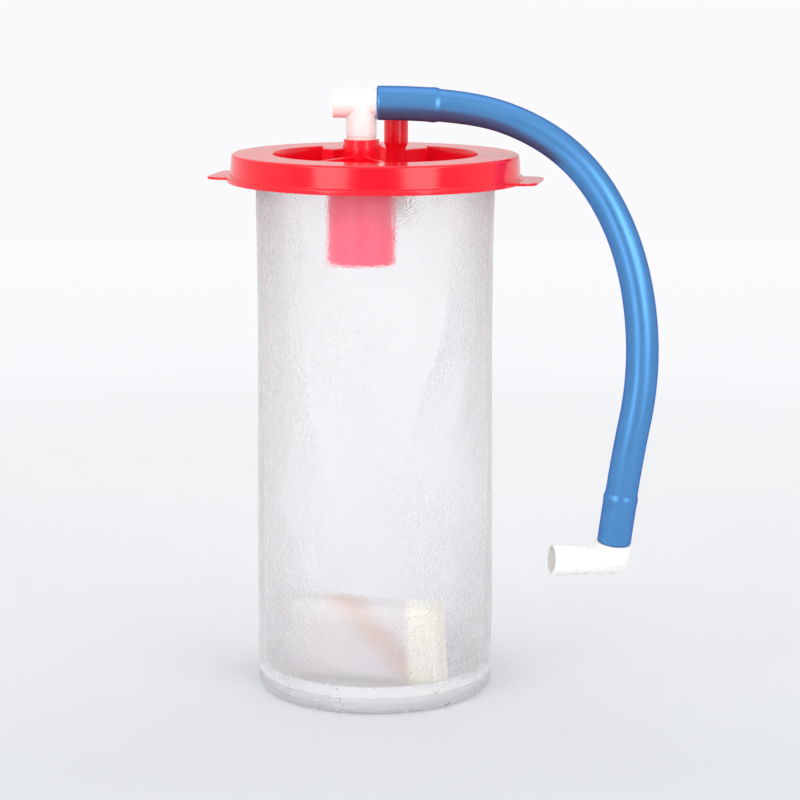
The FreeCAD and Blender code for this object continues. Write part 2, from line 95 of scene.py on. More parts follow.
class NodeGraph:
    """A material's node tree, with short calls to add and join nodes."""

    def __init__(self, name: str) -> None:
        """Starts a material with one surface shader and an output.

        Args:
            name: The material's name.
        """
        self.material = bpy.data.materials.new(name)
        self.material.use_nodes = True
        self.tree = self.material.node_tree
        self.tree.nodes.clear()
        self.output = self.tree.nodes.new("ShaderNodeOutputMaterial")
        self.shader = self.tree.nodes.new("ShaderNodeBsdfPrincipled")
        self.join(self.shader, "BSDF", self.output, "Surface")

    def add(self, kind: str, **settings: object) -> bpy.types.Node:
        """Adds a node and sets its attributes, or its inputs where the name is an input's."""
        node = self.tree.nodes.new(kind)
        for key, value in settings.items():
            name = key.replace("_", " ")
            if hasattr(node, key):
                setattr(node, key, value)
            else:
                node.inputs[name].default_value = value
        return node

    def join(self, source: bpy.types.Node, out: str | int, target: bpy.types.Node, into: str | int) -> None:
        """Joins an output of one node to an input of another."""
        self.tree.links.new(source.outputs[out], target.inputs[into])

    def surface(self, **values: object) -> None:
        """Sets constant values on the surface shader's own sockets."""
        for key, value in values.items():
            self.shader.inputs[key.replace("_", " ")].default_value = value

    def place(self, scale: Sequence[float] = (1.0, 1.0, 1.0)) -> bpy.types.Node:
        """Object coordinates, scaled.

        Args:
            scale: The pattern's scale along each axis.

        Returns:
            The mapping node.
        """
        coordinates = self.add("ShaderNodeTexCoord")
        mapping = self.add("ShaderNodeMapping")
        mapping.inputs["Scale"].default_value = scale
        self.join(coordinates, "Object", mapping, "Vector")
        return mapping

    def noise(self, at: bpy.types.Node, scale: float, detail: float = 2.0,
              rough: float = 0.5) -> bpy.types.Node:
        """A noise texture at a place."""
        texture = self.add("ShaderNodeTexNoise", Scale=scale, Detail=detail, Roughness=rough)
        self.join(at, "Vector", texture, "Vector")
        return texture

    def spread(self, source: bpy.types.Node, out: str | int, low: float, high: float,
               start: float = 0.0, end: float = 1.0) -> bpy.types.Node:
        """Maps a value from start..end to low..high."""
        node = self.add("ShaderNodeMapRange")
        node.inputs["From Min"].default_value = start
        node.inputs["From Max"].default_value = end
        node.inputs["To Min"].default_value = low
        node.inputs["To Max"].default_value = high
        self.join(source, out, node, "Value")
        return node

    def lit_through(self, share: float) -> None:
        """Lets a share of the lamps' light through a clear surface, so that what is inside it is lit.

        Args:
            share: How much of the light passes.
        """
        rays = self.add("ShaderNodeLightPath")
        part = self.add("ShaderNodeMath", operation="MULTIPLY")
        self.join(rays, "Is Shadow Ray", part, 0)
        part.inputs[1].default_value = share
        clear = self.add("ShaderNodeBsdfTransparent")
        blend = self.add("ShaderNodeMixShader")
        self.join(part, 0, blend, 0)
        self.join(self.shader, 0, blend, 1)
        self.join(clear, 0, blend, 2)
        self.join(blend, 0, self.output, "Surface")

    def bump(self, height: bpy.types.Node, out: str | int, strength: float, distance: float,
             below: bpy.types.Node | None = None) -> bpy.types.Node:
        """A bump from a height, over another bump if one is given."""
        node = self.add("ShaderNodeBump", Strength=strength, Distance=distance)
        self.join(height, out, node, "Height")
        if below is not None:
            self.join(below, "Normal", node, "Normal")
        return node


@dataclass(frozen=True)
class MouldedPlastic:
    """Glossy or satin moulded plastic with a faint orange-peel surface."""

    name: str
    colour: tuple[float, float, float]
    roughness: float
    peel: float = 0.04
    subsurface: float = 0.0
    glow_radius: tuple[float, float, float] = (1.0, 0.4, 0.3)
    glow_scale: float = 0.002
    shade_spread: float = 0.03
    edge_round: float = 0.0
    cloud_scale: float = 60.0
    smear_scale: float = 240.0
    peel_scale: float = 900.0
    peel_height: float = 0.2

    def build(self) -> bpy.types.Material:
        """Makes the material.

        Returns:
            The material, with colour, roughness and bump from its nodes.
        """
        graph = NodeGraph(self.name)
        place = graph.place()
        cloud = graph.noise(place, self.cloud_scale, 3.0)
        mix = graph.add("ShaderNodeMix", data_type="RGBA")
        dark = [c * (1 - self.shade_spread) for c in self.colour]
        light = [min(1.0, c * (1 + self.shade_spread)) for c in self.colour]
        mix.inputs[6].default_value = (*dark, 1.0)
        mix.inputs[7].default_value = (*light, 1.0)
        graph.join(cloud, "Fac", mix, 0)
        graph.join(mix, 2, graph.shader, "Base Color")
        smear = graph.noise(place, self.smear_scale, 4.0, 0.6)
        spread = graph.spread(smear, "Fac", self.roughness * 0.8, self.roughness * 1.25, 0.3, 0.7)
        graph.join(spread, 0, graph.shader, "Roughness")
        peel = graph.noise(place, self.peel_scale, 2.0)
        bump = graph.bump(peel, "Fac", self.peel, self.peel_height * MM)
        if self.edge_round:
            soft = graph.add("ShaderNodeBevel", Radius=self.edge_round * MM)
            soft.samples = 4
            graph.join(soft, "Normal", bump, "Normal")
        graph.join(bump, "Normal", graph.shader, "Normal")
        graph.surface(IOR=PLASTIC_IOR)
        if self.subsurface:
            graph.surface(Subsurface_Weight=self.subsurface, Subsurface_Radius=self.glow_radius,
                          Subsurface_Scale=self.glow_scale)
        return graph.material


@dataclass(frozen=True)
class GrainedFilm:
    """Embossed translucent film: a pebble grain on its outer side, and a slight milkiness."""

    name: str = "grained_film"
    colour: tuple[float, float, float] = (0.944, 0.942, 0.95)
    ior: float = 1.08
    roughness: float = 0.1
    transmission: float = 0.97
    gloss_roughness: float = 0.26
    gloss_ior: float = 1.36
    sheen: float = 1.0
    sheen_roughness: float = 0.45
    lamp_share: float = 0.92
    grain_size: float = 1.0
    grain_height: float = 0.8
    grain_stretch: float = 1.3
    grain_shift: float = 1.2
    shift_scale: float = 420.0
    broad_scale: float = 520.0
    broad_share: float = 0.8
    patch_scale: float = 26.0
    patch_least: float = 0.45
    haze_scale: float = 30.0
    smooth_below: float = 9.5
    smooth_fade: float = 2.5

    def build(self) -> bpy.types.Material:
        """Makes the material; the grain is on the outer side only and ends above the smooth base."""
        graph = NodeGraph(self.name)
        place = graph.place((1.0, 1.0, self.grain_stretch))
        warp = graph.noise(place, self.shift_scale, 0.0)
        shifted = graph.add("ShaderNodeVectorMath", operation="MULTIPLY_ADD")
        graph.join(warp, "Color", shifted, 0)
        shifted.inputs[1].default_value = [self.grain_shift * MM] * 3
        graph.join(place, "Vector", shifted, 2)
        cells = graph.add("ShaderNodeTexVoronoi", Scale=1 / (self.grain_size * MM))
        graph.join(shifted, "Vector", cells, "Vector")
        broad = graph.noise(place, self.broad_scale, 1.0)
        height = graph.add("ShaderNodeMath", operation="MULTIPLY_ADD")
        graph.join(broad, "Fac", height, 0)
        height.inputs[1].default_value = self.broad_share
        graph.join(cells, "Distance", height, 2)
        outer = graph.add("ShaderNodeAttribute", attribute_name="outer_side")
        level = graph.add("ShaderNodeSeparateXYZ")
        graph.join(graph.place(), "Vector", level, "Vector")
        fade_end = (self.smooth_below + self.smooth_fade) * MM
        above = graph.spread(level, "Z", 0.0, 1.0, self.smooth_below * MM, fade_end)
        shown = graph.add("ShaderNodeMath", operation="MULTIPLY")
        graph.join(outer, "Fac", shown, 0)
        graph.join(above, 0, shown, 1)
        patch = graph.noise(graph.place((1.0, 1.0, 0.5)), self.patch_scale, 2.0)
        depth = graph.spread(patch, "Fac", self.patch_least, 1.0, 0.35, 0.65)
        strength = graph.add("ShaderNodeMath", operation="MULTIPLY")
        graph.join(shown, 0, strength, 0)
        graph.join(depth, 0, strength, 1)
        grain = graph.bump(height, 0, 1.0, self.grain_height * MM)
        graph.join(strength, 0, grain, "Strength")
        graph.join(grain, "Normal", graph.shader, "Normal")
        haze = graph.noise(graph.place((1.0, 1.0, 0.4)), self.haze_scale, 1.0)
        mix = graph.add("ShaderNodeMix", data_type="RGBA")
        mix.inputs[6].default_value = (*[c * 0.98 for c in self.colour], 1.0)
        mix.inputs[7].default_value = (*[min(1.0, c * 1.02) for c in self.colour], 1.0)
        graph.join(haze, "Fac", mix, 0)
        graph.join(mix, 2, graph.shader, "Base Color")
        spread = graph.spread(haze, "Fac", self.roughness * 0.8, self.roughness * 1.2, 0.3, 0.7)
        graph.join(spread, 0, graph.shader, "Roughness")
        graph.join(grain, "Normal", graph.shader, "Coat Normal")
        graph.surface(IOR=self.ior, Transmission_Weight=self.transmission, Specular_IOR_Level=0.5,
                      Coat_Weight=1.0, Coat_Roughness=self.gloss_roughness, Coat_IOR=self.gloss_ior,
                      Sheen_Weight=self.sheen, Sheen_Roughness=self.sheen_roughness)
        graph.lit_through(self.lamp_share)
        return graph.material


@dataclass(frozen=True)
class ClearPlastic:
    """Smooth translucent plastic, as of the base cup."""

    name: str = "base_plastic"
    colour: tuple[float, float, float] = (0.79, 0.785, 0.8)
    roughness: float = 0.3
    transmission: float = 0.55
    lamp_share: float = 0.9
    ior: float = 1.12
    flow_scale: float = 80.0
    peel_scale: float = 700.0
    peel_height: float = 0.2

    def build(self) -> bpy.types.Material:
        """Makes the material, with faint flow marks."""
        graph = NodeGraph(self.name)
        place = graph.place()
        flow = graph.noise(place, self.flow_scale, 3.0)
        mix = graph.add("ShaderNodeMix", data_type="RGBA")
        mix.inputs[6].default_value = (*[c * 0.96 for c in self.colour], 1.0)
        mix.inputs[7].default_value = (*self.colour, 1.0)
        graph.join(flow, "Fac", mix, 0)
        graph.join(mix, 2, graph.shader, "Base Color")
        spread = graph.spread(flow, "Fac", self.roughness * 0.8, self.roughness * 1.2, 0.3, 0.7)
        graph.join(spread, 0, graph.shader, "Roughness")
        bump = graph.bump(graph.noise(place, self.peel_scale, 2.0), "Fac", 0.1, self.peel_height * MM)
        graph.join(bump, "Normal", graph.shader, "Normal")
        graph.surface(IOR=self.ior, Transmission_Weight=self.transmission)
        graph.lit_through(self.lamp_share)
        return graph.material


@dataclass(frozen=True)
class TubeRubber:
    """Blue tube wall: pearly satin gloss, violet where it turns away, and faint drawing marks along it."""

    name: str = "tube_rubber"
    colour: tuple[float, float, float] = (0.095, 0.29, 0.6)
    edge_colour: tuple[float, float, float] = (0.15, 0.06, 0.6)
    pearl: float = 0.7
    roughness: float = 0.36
    marks: tuple[float, float, float] = (9.0, 9.0, 12.0)
    cloud_scale: float = 70.0
    peel_scale: float = 900.0
    peel_height: float = 0.2

    def build(self) -> bpy.types.Material:
        """Makes the material; its marks follow the tube's own map."""
        graph = NodeGraph(self.name)
        lane = graph.add("ShaderNodeAttribute", attribute_name="tube_map")
        stretched = graph.add("ShaderNodeMapping")
        stretched.inputs["Scale"].default_value = self.marks
        graph.join(lane, "Vector", stretched, "Vector")
        streak = graph.noise(stretched, 1.0, 2.0)
        cloud = graph.noise(graph.place(), self.cloud_scale, 3.0)
        mix = graph.add("ShaderNodeMix", data_type="RGBA")
        mix.inputs[6].default_value = (*[c * 0.95 for c in self.colour], 1.0)
        mix.inputs[7].default_value = (*[min(1.0, c * 1.06) for c in self.colour], 1.0)
        graph.join(cloud, "Fac", mix, 0)
        graph.join(mix, 2, graph.shader, "Base Color")
        spread = graph.spread(streak, "Fac", self.roughness * 0.8, self.roughness * 1.25, 0.3, 0.7)
        graph.join(spread, 0, graph.shader, "Roughness")
        fine = graph.bump(streak, "Fac", 0.05, self.peel_height * MM)
        skin = graph.noise(graph.place(), self.peel_scale, 2.0)
        peel = graph.bump(skin, "Fac", 0.08, self.peel_height * MM, fine)
        graph.join(peel, "Normal", graph.shader, "Normal")
        graph.surface(IOR=PLASTIC_IOR, Metallic=self.pearl, Specular_Tint=(*self.edge_colour, 1.0))
        return graph.material


def finished(name: str, mesh: bpy.types.Mesh, material: bpy.types.Material, body: Body, slot: Slot,
             *nodes: str) -> bpy.types.Object:
    """Makes a piece of a mesh and puts it on its body.

    Args:
        name: The piece's name.
        mesh: Its mesh, in place, in metres.
        material: Its finish.
        body: The body that it rides on.
        slot: The record's slot that its finish is from; it is not used.
        *nodes: The construction's nodes that it stands for.

    Returns:
        The new object.
    """
    piece = bpy.data.objects.new(name, mesh)
    bpy.context.scene.collection.objects.link(piece)
    mesh.materials.clear()
    mesh.materials.append(material)
    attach(piece, body.value)
    if nodes:
        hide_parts(*nodes)
    LOG.info("%s: %d faces on %s", name, len(mesh.polygons), body.value)
    return piece


def shade_smooth(mesh: bpy.types.Mesh) -> None:
    """Shades all of a mesh's faces smooth."""
    mesh.polygons.foreach_set("use_smooth", [True] * len(mesh.polygons))


def outwards(mesh: bpy.types.Mesh) -> None:
    """Turns the faces of a closed mesh outwards and shades them smooth."""
    work = bmesh.new()
    work.from_mesh(mesh)
    bmesh.ops.recalc_face_normals(work, faces=work.faces)
    work.to_mesh(mesh)
    work.free()
    shade_smooth(mesh)


def mesh_of(name: str, points: np.ndarray, faces: Sequence[Sequence[int]]) -> bpy.types.Mesh:
    """Makes a smoothly shaded mesh of points in millimetres.

    Args:
        name: The mesh's name.
        points: The points, one row each.
        faces: The faces, as indices of points.

    Returns:
        The mesh, with its doubles merged and its faces pointing outwards.
    """
    mesh = bpy.data.meshes.new(name)
    mesh.from_pydata((np.asarray(points) * MM).tolist(), [], [list(f) for f in faces])
    work = bmesh.new()
    work.from_mesh(mesh)
    bmesh.ops.remove_doubles(work, verts=work.verts, dist=1e-6)
    bmesh.ops.recalc_face_normals(work, faces=work.faces)
    work.to_mesh(mesh)
    work.free()
    shade_smooth(mesh)
    return mesh


def ring_faces(rows: int, columns: int, closed_rows: bool = False) -> list[tuple[int, int, int, int]]:
    """Faces of a grid of points whose columns go right round.

    Args:
        rows: How many rows of points there are.
        columns: How many points are in a row.
        closed_rows: Whether the last row joins the first.

    Returns:
        The faces, as indices of points.
    """
    faces = []
    for i in range(rows if closed_rows else rows - 1):
        a, b = i * columns, (i + 1) % rows * columns
        for j in range(columns):
            k = (j + 1) % columns
            faces.append((a + j, a + k, b + k, b + j))
    return faces


@dataclass(frozen=True)
class Fold:
    """A narrow valley in the film, or a ridge where its depth is negative.

    Its points are degrees from the front and heights.
    """

    points: tuple[tuple[float, float], ...]
    depth: float
    width: float


@dataclass
class LinerBag:
    """The film tube: a soft cylinder with a waist, slow waves, and flat panels and sharp folds in front."""

    top_r: float = 52.6
    waist_r: float = 52.0
    belly_r: float = 52.75
    waist_z: float = 172.0
    belly_z: float = 84.0
    foot_z: float = 7.6
    neck_z: float = 227.9
    top_z: float = 238.2
    wall: float = 0.16
    rows: int = 186
    columns: int = 266
    wave: float = 0.35
    seed: int = 7

    # Creases that bound the flattened panels, from left to right: height, degrees from the front, and
    # how far the crease lies inside the round film. A panel is flat where its creases lie in by full_panel.
    creases: tuple[tuple[tuple[float, float, float], ...], ...] = (
        ((44.0, -15.0, 0.0), (73.0, -14.5, 0.1), (90.0, -17.5, 0.1), (112.0, -25.0, 0.1), (142.0, -34.0, 0.1),
         (174.0, -37.0, 0.1), (228.0, -33.0, 0.0)),
        ((44.0, -12.0, 0.0), (73.0, -11.5, 0.7), (90.0, -12.5, 0.9), (107.0, -14.0, 1.3), (120.0, -13.0, 2.2),
         (133.0, -10.3, 3.1), (164.0, -7.8, 4.1), (187.0, -9.0, 3.4), (228.0, -9.0, 0.0)),
        ((44.0, 2.0, 0.0), (90.0, 4.0, 0.0), (107.0, 8.0, 0.1), (129.0, 17.8, 0.1), (142.0, 22.0, 0.1),
         (157.0, 30.0, 0.1), (176.0, 36.0, 0.1), (228.0, 38.0, 0.0)),
        ((107.0, 12.0, 0.0), (125.0, 20.5, 1.1), (142.0, 26.5, 1.3), (157.0, 34.5, 1.1), (176.0, 40.5, 0.6),
         (210.0, 44.0, 0.0)),
        ((107.0, 30.0, 0.0), (129.0, 42.0, 0.0), (157.0, 54.0, 0.0), (176.0, 58.0, 0.0), (210.0, 60.0, 0.0)),
    )
    crease_blur: float = 5.0
    full_panel: float = 0.8
    folds: tuple[Fold, ...] = (
        Fold(((-9.3, 192.0), (-6.8, 171.0), (-7.8, 163.0), (-10.3, 133.0), (-14.3, 119.0), (-15.5, 104.0)),
             0.25, 1.3),
        Fold(((-12.0, 76.0), (-15.3, 54.0), (-27.0, 46.0), (-40.0, 38.5), (-59.0, 22.0)), -0.6, 2.6),
        Fold(((-18.0, 47.0), (-40.0, 32.5), (-58.0, 17.0)), 0.5, 1.9),
        Fold(((-14.0, 51.0), (-1.0, 44.5), (10.0, 34.0), (17.0, 26.0)), 0.55, 1.8),
        Fold(((-62.0, 192.0), (-52.0, 158.0), (-58.0, 126.0)), 0.7, 6.5),
        Fold(((-30.0, 104.0), (-36.0, 78.0), (-33.0, 56.0)), -0.45, 5.5),
        Fold(((58.0, 118.0), (52.0, 92.0), (50.0, 64.0)), 0.5, 6.0),
    )

    def radius(self, z: np.ndarray) -> np.ndarray:
        """The film's resting radius at a height, before waves, panels and folds."""
        heights = np.array([self.foot_z, self.belly_z, self.waist_z, self.neck_z])
        radii = np.array([self.top_r, self.belly_r, self.waist_r, self.top_r])
        cubic = np.polyfit(heights, radii, 3)
        return np.where(z > self.neck_z, self.top_r, np.polyval(cubic, z))

    def panels(self, angle: np.ndarray, z: np.ndarray, radius: np.ndarray) -> np.ndarray:
        """The radius with the film drawn flat between neighbouring creases.

        Args:
            angle: Angles from the front, in degrees, positive to the right.
            z: Heights.
            radius: The round film's radius there.

        Returns:
            The radius.
        """
        corners = []
        steps = np.linspace(-self.crease_blur, self.crease_blur, 5)
        for crease in self.creases:
            heights, turns, depths = (np.array(column) for column in zip(*crease))
            place = np.mean([np.interp(z + step, heights, turns) for step in steps], axis=0)
            inside = np.mean([np.interp(z + step, heights, depths, left=0.0, right=0.0)
                              for step in steps], axis=0)
            corners.append((np.radians(place), radius - inside))
        turn = np.radians(angle)
        out = radius.copy()
        for (a, r_a), (b, r_b) in zip(corners, corners[1:]):
            chord = r_a * r_b * np.sin(b - a) / (r_a * np.sin(turn - a) + r_b * np.sin(b - turn))
            inset = (radius - r_a).clip(min=0) + (radius - r_b).clip(min=0)
            share = np.clip(inset, 0, self.full_panel) / self.full_panel
            out = np.where((turn > a) & (turn < b), radius + (chord - radius) * share, out)
        return out

    def folded(self, angle: np.ndarray, z: np.ndarray) -> np.ndarray:
        """How far the narrow folds push the film in."""
        across, up = np.radians(angle) * self.top_r, z
        out = np.zeros_like(z)
        for fold in self.folds:
            line = [(math.radians(a) * self.top_r, h) for a, h in fold.points]
            nearest = np.full_like(z, 1e9)
            share = np.zeros_like(z)
            for i, ((x0, y0), (x1, y1)) in enumerate(zip(line, line[1:])):
                length = math.hypot(x1 - x0, y1 - y0)
                along = np.clip(((across - x0) * (x1 - x0) + (up - y0) * (y1 - y0)) / length ** 2, 0, 1)
                gap = np.hypot(across - x0 - along * (x1 - x0), up - y0 - along * (y1 - y0))
                closer = gap < nearest
                nearest = np.where(closer, gap, nearest)
                share = np.where(closer, (i + along) / (len(line) - 1), share)
            fade = np.clip(np.sin(np.pi * share) * 2.2, 0, 1)
            out += fold.depth * fade * np.exp(-(nearest / fold.width) ** 2)
        return out

    def skin(self) -> tuple[np.ndarray, np.ndarray]:
        """The film's outer and inner points.

        Returns:
            The outer points in rows from the foot up, and the same points pushed in by the wall.
        """
        z = np.linspace(self.foot_z, self.top_z, self.rows)[:, None] * np.ones((1, self.columns))
        turn = np.linspace(0, 2 * math.pi, self.columns, endpoint=False)[None, :] * np.ones((self.rows, 1))
        from_front = (np.degrees(turn) + 180) % 360 - 180
        draw = np.random.default_rng(self.seed)
        waves = np.zeros_like(z)
        for lobes, share in ((3, 0.5), (5, 0.35), (8, 0.2), (13, 0.1)):
            lean, phase, lift = draw.uniform(-0.02, 0.02), draw.uniform(0, 6.28), draw.uniform(0, 6.28)
            waves += share * np.sin(lobes * turn + lean * z + phase) * np.sin(z / 61.0 + lift)
        calm = np.clip((z - self.foot_z) / 22, 0, 1) * np.clip((self.neck_z - z) / 16, 0, 1)
        round_r = self.radius(z)
        pushed = round_r - self.panels(from_front, z, round_r) + self.folded(from_front, z)
        for _ in range(2):
            across = (np.roll(pushed, 1, 1) + np.roll(pushed, -1, 1)) / 2
            pushed[1:-1] = (pushed[:-2] + pushed[2:]) / 8 + across[1:-1] / 4 + pushed[1:-1] / 2
        radius = round_r + self.wave * waves * calm - pushed * calm
        direction = np.stack([np.sin(turn), -np.cos(turn), np.zeros_like(turn)], axis=-1)
        height = np.stack([np.zeros_like(z), np.zeros_like(z), z], axis=-1)
        return direction * radius[..., None] + height, direction * (radius - self.wall)[..., None] + height

    def build(self, finish: GrainedFilm) -> bpy.types.Object:
        """Makes the film as a closed thin wall and dresses it.

        Args:
            finish: The film's finish.

        Returns:
            The piece.
        """
        outer, inner = self.skin()
        points = np.concatenate([outer.reshape(-1, 3), inner[::-1].reshape(-1, 3)])
        mesh = mesh_of("liner_bag_film", points, ring_faces(2 * self.rows, self.columns, True))
        count = self.rows * self.columns
        side = mesh.attributes.new("outer_side", "FLOAT", "POINT")
        side.data.foreach_set("value", np.repeat([1.0, 0.0], count))
        return finished("liner_bag_film", mesh, finish.build(), Body.CANISTER, Slot.FILM, "liner_bag")


@dataclass
class LinkTube:
    """The blue tube, which follows its route's smooth curve, with stretched ends over the spigots."""

    route: tuple[tuple[float, float, float], ...] = (
        (0.7, -9.0, 262.5), (38.0, -9.0, 262.5), (73.0, -12.0, 250.5), (97.0, -19.0, 228.5),
        (112.5, -26.0, 193.5), (117.0, -31.0, 149.0), (108.5, -33.0, 105.0), (105.0, -29.5, 72.5),
    )
    length: float = 267.5
    across: float = 14.0
    tube_r: float = 7.05
    arch_r: float = 6.8
    bore_r: float = 4.85
    cuff_r: float = 7.42
    ridge: float = 0.16
    top_cuff_l: float = 24.5
    low_cuff_l: float = 20.0
    step_l: float = 3.2
    lip_r: float = 0.35
    arch_from: tuple[float, float] = (0.08, 0.25)
    arch_to: tuple[float, float] = (0.45, 0.7)
    sides: int = 64
    stations: int = 420

    def centreline(self) -> bpy.types.Mesh:
        """The points of the route's smooth curve, read from the curve itself."""
        data = bpy.data.curves.new("tube_route", "CURVE")
        data.dimensions = "3D"
        data.resolution_u = 48
        line = data.splines.new("NURBS")
        line.points.add(len(self.route) - 1)
        for point, place in zip(line.points, self.route):
            point.co = (*(c * MM for c in place), 1.0)
        line.order_u = 3
        line.use_endpoint_u = True
        curve = bpy.data.objects.new("tube_route", data)
        mesh = bpy.data.meshes.new_from_object(curve)
        bpy.data.objects.remove(curve)
        return mesh

    def sweep_nodes(self) -> bpy.types.NodeTree:
        """The geometry nodes that sweep the tube's outer wall and bore along the line.

        Returns:
            The tree, whose inputs are the tube's sizes in metres.
        """
        tree = bpy.data.node_groups.new("tube_sweep", "GeometryNodeTree")
        face = tree.interface
        face.new_socket("Geometry", in_out="INPUT", socket_type="NodeSocketGeometry")
        sizes = {
            "Tube Radius": self.tube_r, "Arch Radius": self.arch_r, "Cuff Radius": self.cuff_r,
            "Bore Radius": self.bore_r, "Ridge": self.ridge, "Top Cuff": self.top_cuff_l,
            "Low Cuff": self.low_cuff_l, "Step": self.step_l, "Lip": self.lip_r,
        }
        for name, value in sizes.items():
            face.new_socket(name, in_out="INPUT", socket_type="NodeSocketFloat").default_value = value * MM
        face.new_socket("Stations", in_out="INPUT", socket_type="NodeSocketInt").default_value = self.stations
        face.new_socket("Sides", in_out="INPUT", socket_type="NodeSocketInt").default_value = self.sides
        face.new_socket("Finish", in_out="INPUT", socket_type="NodeSocketMaterial")
        face.new_socket("Geometry", in_out="OUTPUT", socket_type="NodeSocketGeometry")
        nodes, links = tree.nodes, tree.links
        source = nodes.new("NodeGroupInput").outputs
        target = nodes.new("NodeGroupOutput")

        def maths(operation: str, *values: object) -> bpy.types.NodeSocket:
            """A maths node whose inputs are numbers or sockets."""
            node = nodes.new("ShaderNodeMath")
            node.operation = operation
            for i, value in enumerate(values):
                if isinstance(value, bpy.types.NodeSocket):
                    links.new(value, node.inputs[i])
                else:
                    node.inputs[i].default_value = value
            return node.outputs[0]

        def ease(value: object, start: object, end: object, low: float, high: float) -> bpy.types.NodeSocket:
            """A smooth change from low at start to high at end."""
            node = nodes.new("ShaderNodeMapRange")
            node.interpolation_type = "SMOOTHERSTEP"
            for name, item in (("Value", value), ("From Min", start), ("From Max", end)):
                if isinstance(item, bpy.types.NodeSocket):
                    links.new(item, node.inputs[name])
                else:
                    node.inputs[name].default_value = item
            node.inputs["To Min"].default_value = low
            node.inputs["To Max"].default_value = high
            return node.outputs[0]

        line = nodes.new("GeometryNodeMeshToCurve")
        links.new(source["Geometry"], line.inputs["Mesh"])
        even = nodes.new("GeometryNodeResampleCurve")
        links.new(line.outputs["Curve"], even.inputs["Curve"])
        links.new(source["Stations"], even.inputs["Count"])
        along = nodes.new("GeometryNodeSplineParameter").outputs
        whole = nodes.new("GeometryNodeSplineLength").outputs["Length"]
        left = maths("SUBTRACT", whole, along["Length"])
        arch = maths("MULTIPLY", ease(along["Factor"], *self.arch_from, 0.0, 1.0),
                     ease(along["Factor"], *self.arch_to, 1.0, 0.0))
        thin = maths("MULTIPLY", arch, maths("SUBTRACT", source["Arch Radius"], source["Tube Radius"]))
        plain = maths("ADD", source["Tube Radius"], thin)
        stretch, swell = [], []
        for distance, reach in ((along["Length"], source["Top Cuff"]), (left, source["Low Cuff"])):
            over = maths("ADD", reach, source["Step"])
            stretch.append(ease(distance, reach, over, 1.0, 0.0))
            before = maths("SUBTRACT", reach, source["Step"])
            swell.append(maths("MULTIPLY", ease(distance, before, reach, 0.0, 1.0),
                               ease(distance, reach, over, 1.0, 0.0)))
        radius = maths("MULTIPLY_ADD", maths("MAXIMUM", *stretch),
                       maths("SUBTRACT", source["Cuff Radius"], plain), plain)
        radius = maths("MULTIPLY_ADD", maths("MAXIMUM", *swell), source["Ridge"], radius)
        near_end = maths("MINIMUM", along["Length"], left)
        lip = maths("SUBTRACT", 1.0, maths("MINIMUM", 1.0, maths("DIVIDE", near_end, source["Lip"])))
        lip = maths("MULTIPLY", source["Lip"], maths("MULTIPLY", lip, lip))
        outer = maths("SUBTRACT", radius, lip)
        bore = maths("ADD", source["Bore Radius"], maths("MULTIPLY", lip, 0.5))
        both = nodes.new("GeometryNodeJoinGeometry")
        for size, flipped in ((bore, True), (outer, False)):
            ring = nodes.new("GeometryNodeCurvePrimitiveCircle")
            links.new(source["Sides"], ring.inputs["Resolution"])
            ring.inputs["Radius"].default_value = 1.0
            sweep = nodes.new("GeometryNodeCurveToMesh")
            links.new(even.outputs["Curve"], sweep.inputs["Curve"])
            links.new(ring.outputs["Curve"], sweep.inputs["Profile Curve"])
            links.new(size, sweep.inputs["Scale"])
            wall = sweep.outputs["Mesh"]
            if flipped:
                flip = nodes.new("GeometryNodeFlipFaces")
                links.new(wall, flip.inputs["Mesh"])
                wall = flip.outputs["Mesh"]
            links.new(wall, both.inputs["Geometry"])
        real = nodes.new("GeometryNodeRealizeInstances")
        links.new(both.outputs["Geometry"], real.inputs["Geometry"])
        dress = nodes.new("GeometryNodeSetMaterial")
        links.new(real.outputs["Geometry"], dress.inputs["Geometry"])
        links.new(source["Finish"], dress.inputs["Material"])
        links.new(dress.outputs["Geometry"], target.inputs["Geometry"])
        return tree

    def build(self, finish: TubeRubber, elbow: bpy.types.Object) -> bpy.types.Object:
        """Args:
            finish: The tube's finish.
            elbow: The connector on its far end; it is not used.

        Returns:
            The piece.
        """
        material = finish.build()
        line = self.centreline()
        path = [v.co.copy() for v in line.vertices]
        holder = bpy.data.objects.new("tube_line", line)
        bpy.context.scene.collection.objects.link(holder)
        sweep = holder.modifiers.new("sweep", "NODES")
        sweep.node_group = self.sweep_nodes()
        finish_input = next(i for i in sweep.node_group.interface.items_tree if i.name == "Finish")
        sweep[finish_input.identifier] = material
        bpy.context.view_layer.update()
        mesh = bpy.data.meshes.new_from_object(holder.evaluated_get(bpy.context.evaluated_depsgraph_get()))
        mesh.name = "link_tube"
        bpy.data.objects.remove(holder)
        turn = np.tile(np.linspace(0, 2 * math.pi, self.sides, endpoint=False), 2 * self.stations)
        share = np.tile(np.repeat(np.linspace(0, 1, self.stations), self.sides), 2)
        lane = mesh.attributes.new("tube_map", "FLOAT_VECTOR", "POINT")
        lane.data.foreach_set("vector", np.stack([np.cos(turn), np.sin(turn), share], -1).ravel())
        work = bmesh.new()
        work.from_mesh(mesh)
        rims = [e for e in work.edges if e.is_boundary]
        for end in (Vector(path[0]), Vector(path[-1])):
            rim = [e for e in rims if (e.verts[0].co - end).length < 0.01]
            bmesh.ops.bridge_loops(work, edges=rim)
        bmesh.ops.recalc_face_normals(work, faces=work.faces)
        work.to_mesh(mesh)
        work.free()
        shade_smooth(mesh)
        piece = finished("link_tube", mesh, material, Body.TEE, Slot.TUBE, "suction_tube")
        return piece


Outline = Sequence[tuple[float, float]]


